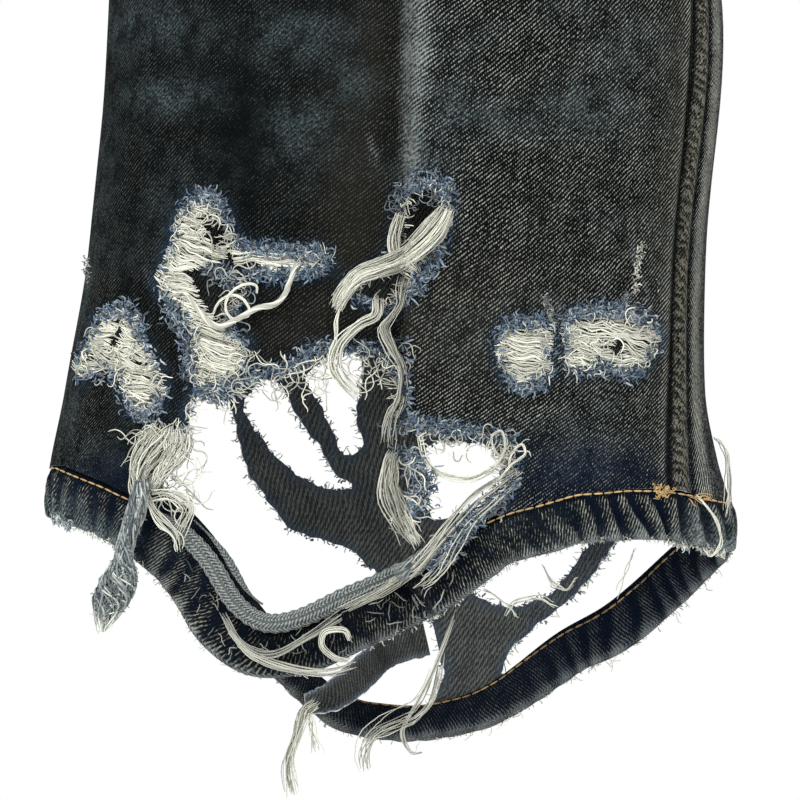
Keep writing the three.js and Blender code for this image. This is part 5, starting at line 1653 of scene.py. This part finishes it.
def hemStitchLine(half, start, end, drop, offset):
    place, x, gone = hemPlacer(half)
    order = np.argsort(x)
    u0, u1 = np.interp([start, end], x[order], gone[order])
    u = np.linspace(min(u0, u1), max(u0, u1), 400)
    return place(u, drop + 0.22 * softNoise(u / 4, u / 9, 2), np.full(len(u), offset))


hemRows = [
    stitchGroup(rng, hemStitchLine("front", -102, -74.5, 0.35, 0.55)),
    stitchGroup(rng, hemStitchLine("front", 30, 83.5, 0.35, 0.55)),
    stitchGroup(rng, hemStitchLine("front", 84.5, 104, 0.35, 0.75)),
    stitchGroup(rng, hemStitchLine("back", -20, 104, 1.5, -hemLook["thick"] - 0.45), (0.45, 0.75)),
    stitchGroup(rng, hemStitchLine("back", -99, 104, 0.35, 0.5)),
]
knot = curls(rng, (82, 86, 7.6, 10), 34, length=(1.6, 4.2), curl=(0.3, 1.0), lift=(0.6, 1.6),
             tone=(0.75, 1.2), indigo=0.05)
frayedEnd = curls(rng, (92, 96, 6.2, 7.6), 8, length=(3, 6), curl=(0.0, 0.12), heading=(-0.3, 0.0),
                  lift=(0.8, 1.4),
                  tone=(0.7, 1.1), indigo=0.05)
hemStitching = threadPiece("hemStitching", hemRows + knot + frayedEnd, tanThread)


# the plain upper garment: yokes, pockets, waistband, loops, zip and their stitching
upperPlan = {
    "bandOut": 0.8, "bandWall": 3, "bandStart": 89, "bandEnd": 460, "lapFrom": 424, "lapTo": 444,
    "lapOut": 3.8,
    "loopAngles": [58, 122, 192, 270, 348], "loopHalf": 2.2, "loopBottom": -52,
    "facingOut": -2.9, "pocketOut": 2.2, "pocketFrom": 0.2, "pocketTo": 0.72, "pocketTop": -124,
    "pocketBottom": -243,
    "pocketPoint": 22, "pocketSlope": 5, "flyWidth": 34, "flyEnd": -170,
}


def halfCentre(z):
    return np.stack([along(legRings, "z", "x", z) * (0.35 + 0.65 * ease(z, -185, -298)), 0 * z, z], -1)


def patchOnHalf(name, node, half, shares, top, bottom, rows, out, wall, flip=False, material=None):
    # cloth lying on the left half, or on the right one where flip is true
    share = np.broadcast_to(shares, (rows, len(shares)))
    v = np.linspace(0, 1, rows)[:, None]
    z = top + (bottom - top) * v
    points = halfPoint("left", half, share, z)
    centre = halfCentre(z)
    points = points + gridNormals(points, centre) * out
    across = (share - 0.5) * girthAt(np.minimum(z, -298)) * (-1 if half == "front"
                                                             else 1) * (-1 if flip else 1)
    edge = np.minimum(np.minimum(share - shares[0], shares[-1] - share) * 250,
                      np.minimum(z - bottom, top - z))
    piece = clothMesh(name, points, centre, np.stack([across, z], -1), wall,
                      [material or outerDenim, innerDenim, rawEdge],
                      marks={"wearAndShade": 0.35 * hill((edge - 1) / 2) + 0 * z, "cloud": 0.3 + 0 * z}, flip=flip)
    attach(piece, "root")
    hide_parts(node)
    return piece


seamShares = np.linspace(0.0012, 0.9988, 60)
bandBottom = -jeansCut["waistbandHeight"] - jeansCut["seamGap"]
facingShares = np.linspace(-0.035, 0.48, 28)      # it runs on a little way behind the outseam
facingDrop = bandBottom - 118 - 10 * (facingShares - 0.01) / 0.47
pocketShares = np.linspace(upperPlan["pocketFrom"], upperPlan["pocketTo"], 44)
pocketAt = (pocketShares - upperPlan["pocketFrom"]) / (upperPlan["pocketTo"] - upperPlan["pocketFrom"])
pocketTop = upperPlan["pocketTop"] - upperPlan["pocketSlope"] * pocketAt
pocketBottom = (upperPlan["pocketBottom"] - upperPlan["pocketPoint"] * (1 - np.abs(2 * pocketAt - 1))
                - upperPlan["pocketSlope"] * pocketAt)
for sideName, flip in (("Left", False), ("Right", True)):
    node = sideName.lower()
    patchOnHalf("yoke" + sideName, "yoke_" + node, "back", seamShares,
                                                 bandBottom,
                                                 yokeSeam(seamShares), 16, 0, 1.15, flip)
    patchOnHalf("pocketFacing" + sideName, "pocket_facing_" + node,
                                                   "front",
                                                   facingShares, bandBottom - 1, facingDrop, 26,
                                                   upperPlan["facingOut"], 1.1, flip)
    patchOnHalf("backPocket" + sideName, "back_pocket_" + node, "back",
                                                   pocketShares, pocketTop, pocketBottom, 44,
                                                   upperPlan["pocketOut"],
                                                   1.1, flip)


def bandPoint(angle, z, out=0.0):
    # on the waistband, which laps over its own end at the front
    base = hipPoint(angle, z)
    way = np.stack([base[..., 0], base[..., 1] * 2, 0 * base[..., 0]], -1)
    way /= np.linalg.norm(way, axis=-1, keepdims=True)
    lap = upperPlan["lapOut"] * ease(angle, upperPlan["lapFrom"], upperPlan["lapTo"])
    return base + way * (lap + upperPlan["bandOut"] + out)[..., None]


def waistbandPiece(name):
    angle = np.linspace(upperPlan["bandStart"], upperPlan["bandEnd"], 300)[None] + np.zeros((16, 1))
    v = np.linspace(0, 1, 16)[:, None] + np.zeros((1, 300))
    z = -jeansCut["waistbandHeight"] * v
    ripple = 0.35 * softNoise(angle / 3, v * 3, 6) * np.sin(math.pi * v)
    points = bandPoint(angle, z, ripple)
    uv = np.stack([angle * 2.35, z], -1)
    piece = clothMesh(name, points, np.stack([0 * z, 0 * z, z], -1), uv, upperPlan["bandWall"],
                      [outerDenim, innerDenim, outerDenim],
                      marks={"wearAndShade": 0.45 * hill(v / 0.07) + 0.45 * hill((v - 1) / 0.07),
                             "cloud": 0.25 + 0 * v})
    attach(piece, "root")
    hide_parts("waistband")
    return piece


def beltLoopPiece(name, node, middle):
    angle = middle + upperPlan["loopHalf"] * np.linspace(-1, 1, 9)[None] + np.zeros((22, 1))
    v = np.linspace(0, 1, 22)[:, None] + np.zeros((1, 9))
    z = 1 + (upperPlan["loopBottom"] - 1) * v
    out = 2.2 + 1.2 * np.sin(math.pi * v) ** 0.6 - 1.4 * hill(v / 0.05) - 1.2 * hill((v - 1) / 0.05)
    base = hipPoint(angle, z)
    way = np.stack([base[..., 0], base[..., 1] * 2, 0 * z], -1)
    way /= np.linalg.norm(way, axis=-1, keepdims=True)
    points = base + way * (out + 0.8)[..., None]
    side = np.abs(angle - middle) / upperPlan["loopHalf"]
    piece = clothMesh(name, points, np.stack([0 * z, 0 * z, z], -1), np.stack([angle * 2.35, z], -1), 1.5,
                      [outerDenim, innerDenim, outerDenim], marks={"wearAndShade": 0.5 * hill((side - 1) / 0.25)})
    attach(piece, "root")
    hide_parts(node)
    return piece


# the strip that the two halves are sewn to, from the back of the waist, under the crotch and up to the fly
def seatSeamPiece(name):
    down = np.concatenate([np.linspace(bandBottom - 4, -250, 64),
                           -298 + 48 * np.cos(np.linspace(0, math.pi / 2, 28)[1:]) ** 1.5])
    behind = halfPoint("left", "back", 0.981, down)
    ahead = halfPoint("left", "front", 0.981, down[down < -150])
    edge = np.concatenate([behind, ahead[::-1]])
    sideways = np.maximum(edge[:, 0], 5.2)
    run = np.gradient(edge, axis=0) * [0, 1, 1]
    inward = np.cross(run, [1, 0, 0])
    inward /= np.linalg.norm(inward, axis=1, keepdims=True)
    middle = np.array([0, 0, -100.0])
    inward *= np.sign(((middle - edge * [0, 1, 1]) * inward).sum(1).sum())
    depth = 1.35 + 0.9 * ease(edge[:, 2], -200, -298)
    v = np.linspace(-1, 1, 9)[:, None]
    points = edge[None] * [0, 1, 1] + (inward * depth[:, None])[None] + np.zeros((9, 1, 1))
    points[..., 0] = v * sideways[None]
    gone = lengthAlong(edge * [0, 1, 1])
    uv = np.stack([gone[None] + 0 * v, points[..., 0]], -1)
    piece = clothMesh(name, points, middle + 0 * points, uv, 1.1, [outerDenim, innerDenim, outerDenim],
                      marks={"wearAndShade": 0.2 + 0 * points[..., 0], "seam": 99 + 0 * points[..., 0]})
    print("seat seam", round(gone[-1]), "mm long,", round(2 * sideways.mean(), 1), "mm wide")
    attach(piece, "root")
    return piece


def seamTape(name, leg, at, top, bottom):
    # the sewn-down edges of a long seam, inside the leg behind the join
    z = np.linspace(top, bottom, 90)[:, None]
    girth = girthAt(np.minimum(z, -298))
    share = at + np.linspace(-1, 1, 5)[None] * 6.2 / girth
    points = halfPoint(leg, "front", share, z)
    points = points - gridNormals(points, halfCentre(z + 0 * share)) * 1.6
    uv = np.stack([(share - 0.5) * girth, z + 0 * share], -1)
    piece = clothMesh(name, points, halfCentre(z + 0 * share), uv, 1.1, [innerDenim, innerDenim, outerDenim],
                      marks={"seam": 99 + 0 * share}, flip=leg == "right")
    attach(piece, "root")
    return piece


seatSeam = seatSeamPiece("seatSeam")
seamTapes = [(seamTape("outseamLeft", "left", 0, -122, -1021), 0.900),
             (seamTape("inseamLeft", "left", 1, -300, -1011), 0.715),
             (seamTape("outseamRight", "right", 0, -122, -1034), 0.913),
             (seamTape("inseamRight", "right", 1, -300, -1034), 0.738)]
waistbandCloth = waistbandPiece("waistbandCloth")
beltLoops = [beltLoopPiece("beltLoop" + str(i + 1), "belt_loop_" + str(i + 1), middle)
             for i, middle in enumerate(upperPlan["loopAngles"])]


# the closed zip behind the fly: two tapes and their teeth
def zipPieces():
    z = bandBottom - 2 - np.linspace(0, 112, 40)[:, None] + np.zeros((1, 14))
    seam = hipPoint(90, z)
    x = 26 * (np.linspace(0, 1, 14) - 0.5)[None] + 0 * z
    points = np.stack([x, seam[..., 1] + 1.4 + 3.6, seam[..., 2]], -1)
    tape = clothMesh("zipTapes", points, points + np.array([0, 40, 0]), np.stack([x, z], -1), 1.1,
                     [zipTape] * 3)
    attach(tape, "root")
    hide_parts("zip")
    spots, faces = [], []
    corners = np.array([[-1, -1, -1], [1, -1, -1], [1, 1, -1], [-1, 1, -1], [-1, -1, 1], [1, -1, 1],
                        [1, 1, 1], [-1, 1, 1]])
    box = np.array([[0, 3, 2, 1], [4, 5, 6, 7], [0, 1, 5, 4], [1, 2, 6, 5], [2, 3, 7, 6], [3, 0, 4, 7]])
    for k, level in enumerate(np.arange(z.max() - 4, z.min() + 4, -1.3)):
        at = hipPoint(90, np.array(level))
        spots.append(corners * [1.5, 0.7, 0.42] + [0.8 if k % 2 else -0.8, at[1] + 1.4 + 3.6 - 0.9, at[2]])
        faces.append(box + 8 * k)
    teeth = makeObject("zipTeeth", np.concatenate(spots), np.concatenate(faces), [agedMetal], smooth=False)
    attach(teeth, "root")
    return tape, teeth


zipCloth, zipTeeth = zipPieces()
for holder in bpy.data.objects["waist_button"].material_slots:
    holder.material = agedMetal


def lineOnHalf(half, shares, z, out, flip=False):
    points = halfPoint("left", half, shares, z)
    centre = halfCentre(z)
    way = points - centre
    way[..., 2] = 0
    way /= np.linalg.norm(way, axis=-1, keepdims=True)
    points = points + way * out
    return points * [-1, 1, 1] if flip else points


def upperStitching(rng):
    lines = []
    rise = 0.15
    for flip in (False, True):
        for inset in (2.0, 8.0):
            shares = np.linspace(0.004, 0.40, 200)
            lines.append(lineOnHalf("front", shares + inset / 700, pocketMouth(shares) - inset, rise, flip))
        for above in (2.0, 8.0):
            shares = np.linspace(0.006, 0.994, 200)
            lines.append(lineOnHalf("back", shares, yokeSeam(shares) + above, rise, flip))
        for inset in (2.0, 8.0):
            du = inset / 240
            at = np.linspace(upperPlan["pocketFrom"] + du, upperPlan["pocketTo"] - du, 160)
            low = np.interp(at, pocketShares, pocketBottom) + inset
            top = np.interp(at[[0, -1]], pocketShares, pocketTop) - 1
            shares = np.concatenate([np.full(80, at[0]), at, np.full(80, at[-1])])
            heights = np.concatenate([np.linspace(top[0], low[0], 80), low, np.linspace(low[-1], top[1], 80)])
            lines.append(lineOnHalf("back", shares, heights, upperPlan["pocketOut"] + rise, flip))
        lines.append(lineOnHalf("back", pocketShares[2:-2], pocketTop[2:-2] - 9,
                                upperPlan["pocketOut"] + rise, flip))
        shares = np.full(400, 0.985)
        lines.append(lineOnHalf("back", shares, np.linspace(-118, -296, 400), rise, flip))
        lines.append(lineOnHalf("front", shares, np.linspace(-176, -296, 400), rise, flip))
    down = np.linspace(bandBottom - 2, upperPlan["flyEnd"], 240)
    curve = 1 - 0.175 * np.sqrt(np.clip(1 - ((np.minimum(down, -120) + 120) / (upperPlan["flyEnd"] + 120))**2,
                                        0, 1))
    lines.append(lineOnHalf("front", curve, down, rise))
    lines.append(lineOnHalf("front", curve + 0.03 * (1 - curve) / 0.175, down, rise))
    angle = np.linspace(upperPlan["bandStart"] + 8, upperPlan["bandEnd"] - 1, 900)
    lines.append(bandPoint(angle, np.full(900, -3.0), np.full(900, rise)))
    lines.append(bandPoint(angle, np.full(900, -jeansCut["waistbandHeight"] + 3.0), np.full(900, rise)))
    turned = np.linspace(0, 360, 700)
    ring = legPoint("right", turned, np.full(700, jeansCut["rightHemLevel"] - 1.0))
    ringCentre = np.array([186.4, 4, 0])
    way = (ring - ringCentre) * [1, 1, 0]
    way /= np.linalg.norm(way, axis=-1, keepdims=True)
    lines.append((ring + way * 0.3) * [-1, 1, 1])
    return [stitchGroup(rng, line, sides=3) for line in lines]


garmentStitching = threadPiece("garmentStitching", upperStitching(rng), tanThread)
print("upper garment made")
# the view of the lower left leg
viewPlan = {"middle": (190.0, -993.6), "distance": 2200, "plane": -20, "width": 242.4}
cameraData = bpy.data.cameras.new("cameraData")
cameraData.sensor_width = 36
cameraData.lens = 36 * viewPlan["distance"] / viewPlan["width"]
cameraData.clip_end = 50
camera = bpy.data.objects.new("camera", cameraData)
camera.location = (viewPlan["middle"][0] * mm, (viewPlan["plane"] - viewPlan["distance"]) * mm,
                   viewPlan["middle"][1] * mm)
camera.rotation_euler = (math.radians(90), 0, 0)
bpy.context.scene.collection.objects.link(camera)
bpy.context.scene.camera = camera

lightPlan = {
    "world": 1.0,
    "lights": [   # name, place in m, size in m, watts
        ("keyLight", (-1.5, -2.2, 0.7), 1.0, 75),
        ("topLight", (0.6, -0.9, 1.2), 1.2, 40),
        ("rimLight", (1.8, 1.2, 0.2), 1.2, 30),
    ],
}
for name, place, size, power in lightPlan["lights"]:
    data = bpy.data.lights.new(name, "AREA")
    data.shape = "SQUARE"
    data.size = size
    data.energy = power
    lamp = bpy.data.objects.new(name, data)
    lamp.location = place
    aim = np.array([0.19, 0, -0.95]) - np.array(place)
    lamp.rotation_euler = (math.atan2(np.hypot(aim[0], aim[1]), -aim[2]), 0,
                           math.atan2(aim[1], aim[0]) - math.pi / 2)
    lamp.visible_camera = False
    bpy.context.scene.collection.objects.link(lamp)

world = bpy.data.worlds.new("studio")
world.use_nodes = True
world.node_tree.nodes["Background"].inputs[0].default_value = (1, 1, 1, 1)
world.node_tree.nodes["Background"].inputs[1].default_value = lightPlan["world"]
bpy.context.scene.world = world
bpy.context.scene.view_settings.view_transform = "Standard"

floorMaterial, floorTree, floorShader = newMaterial("floorPaint", 0.9, 0.1)
floorShader.inputs["Base Color"].default_value = (0.9, 0.9, 0.9, 1)
floorSize, floorLevel = 6000, -1480
floor = makeObject("floor", [(-floorSize, -floorSize, floorLevel), (floorSize, -floorSize, floorLevel),
                             (floorSize, floorSize, floorLevel), (-floorSize, floorSize, floorLevel)],
                   [(0, 1, 2, 3)], [floorMaterial], smooth=False)
print("camera, lights and floor set")
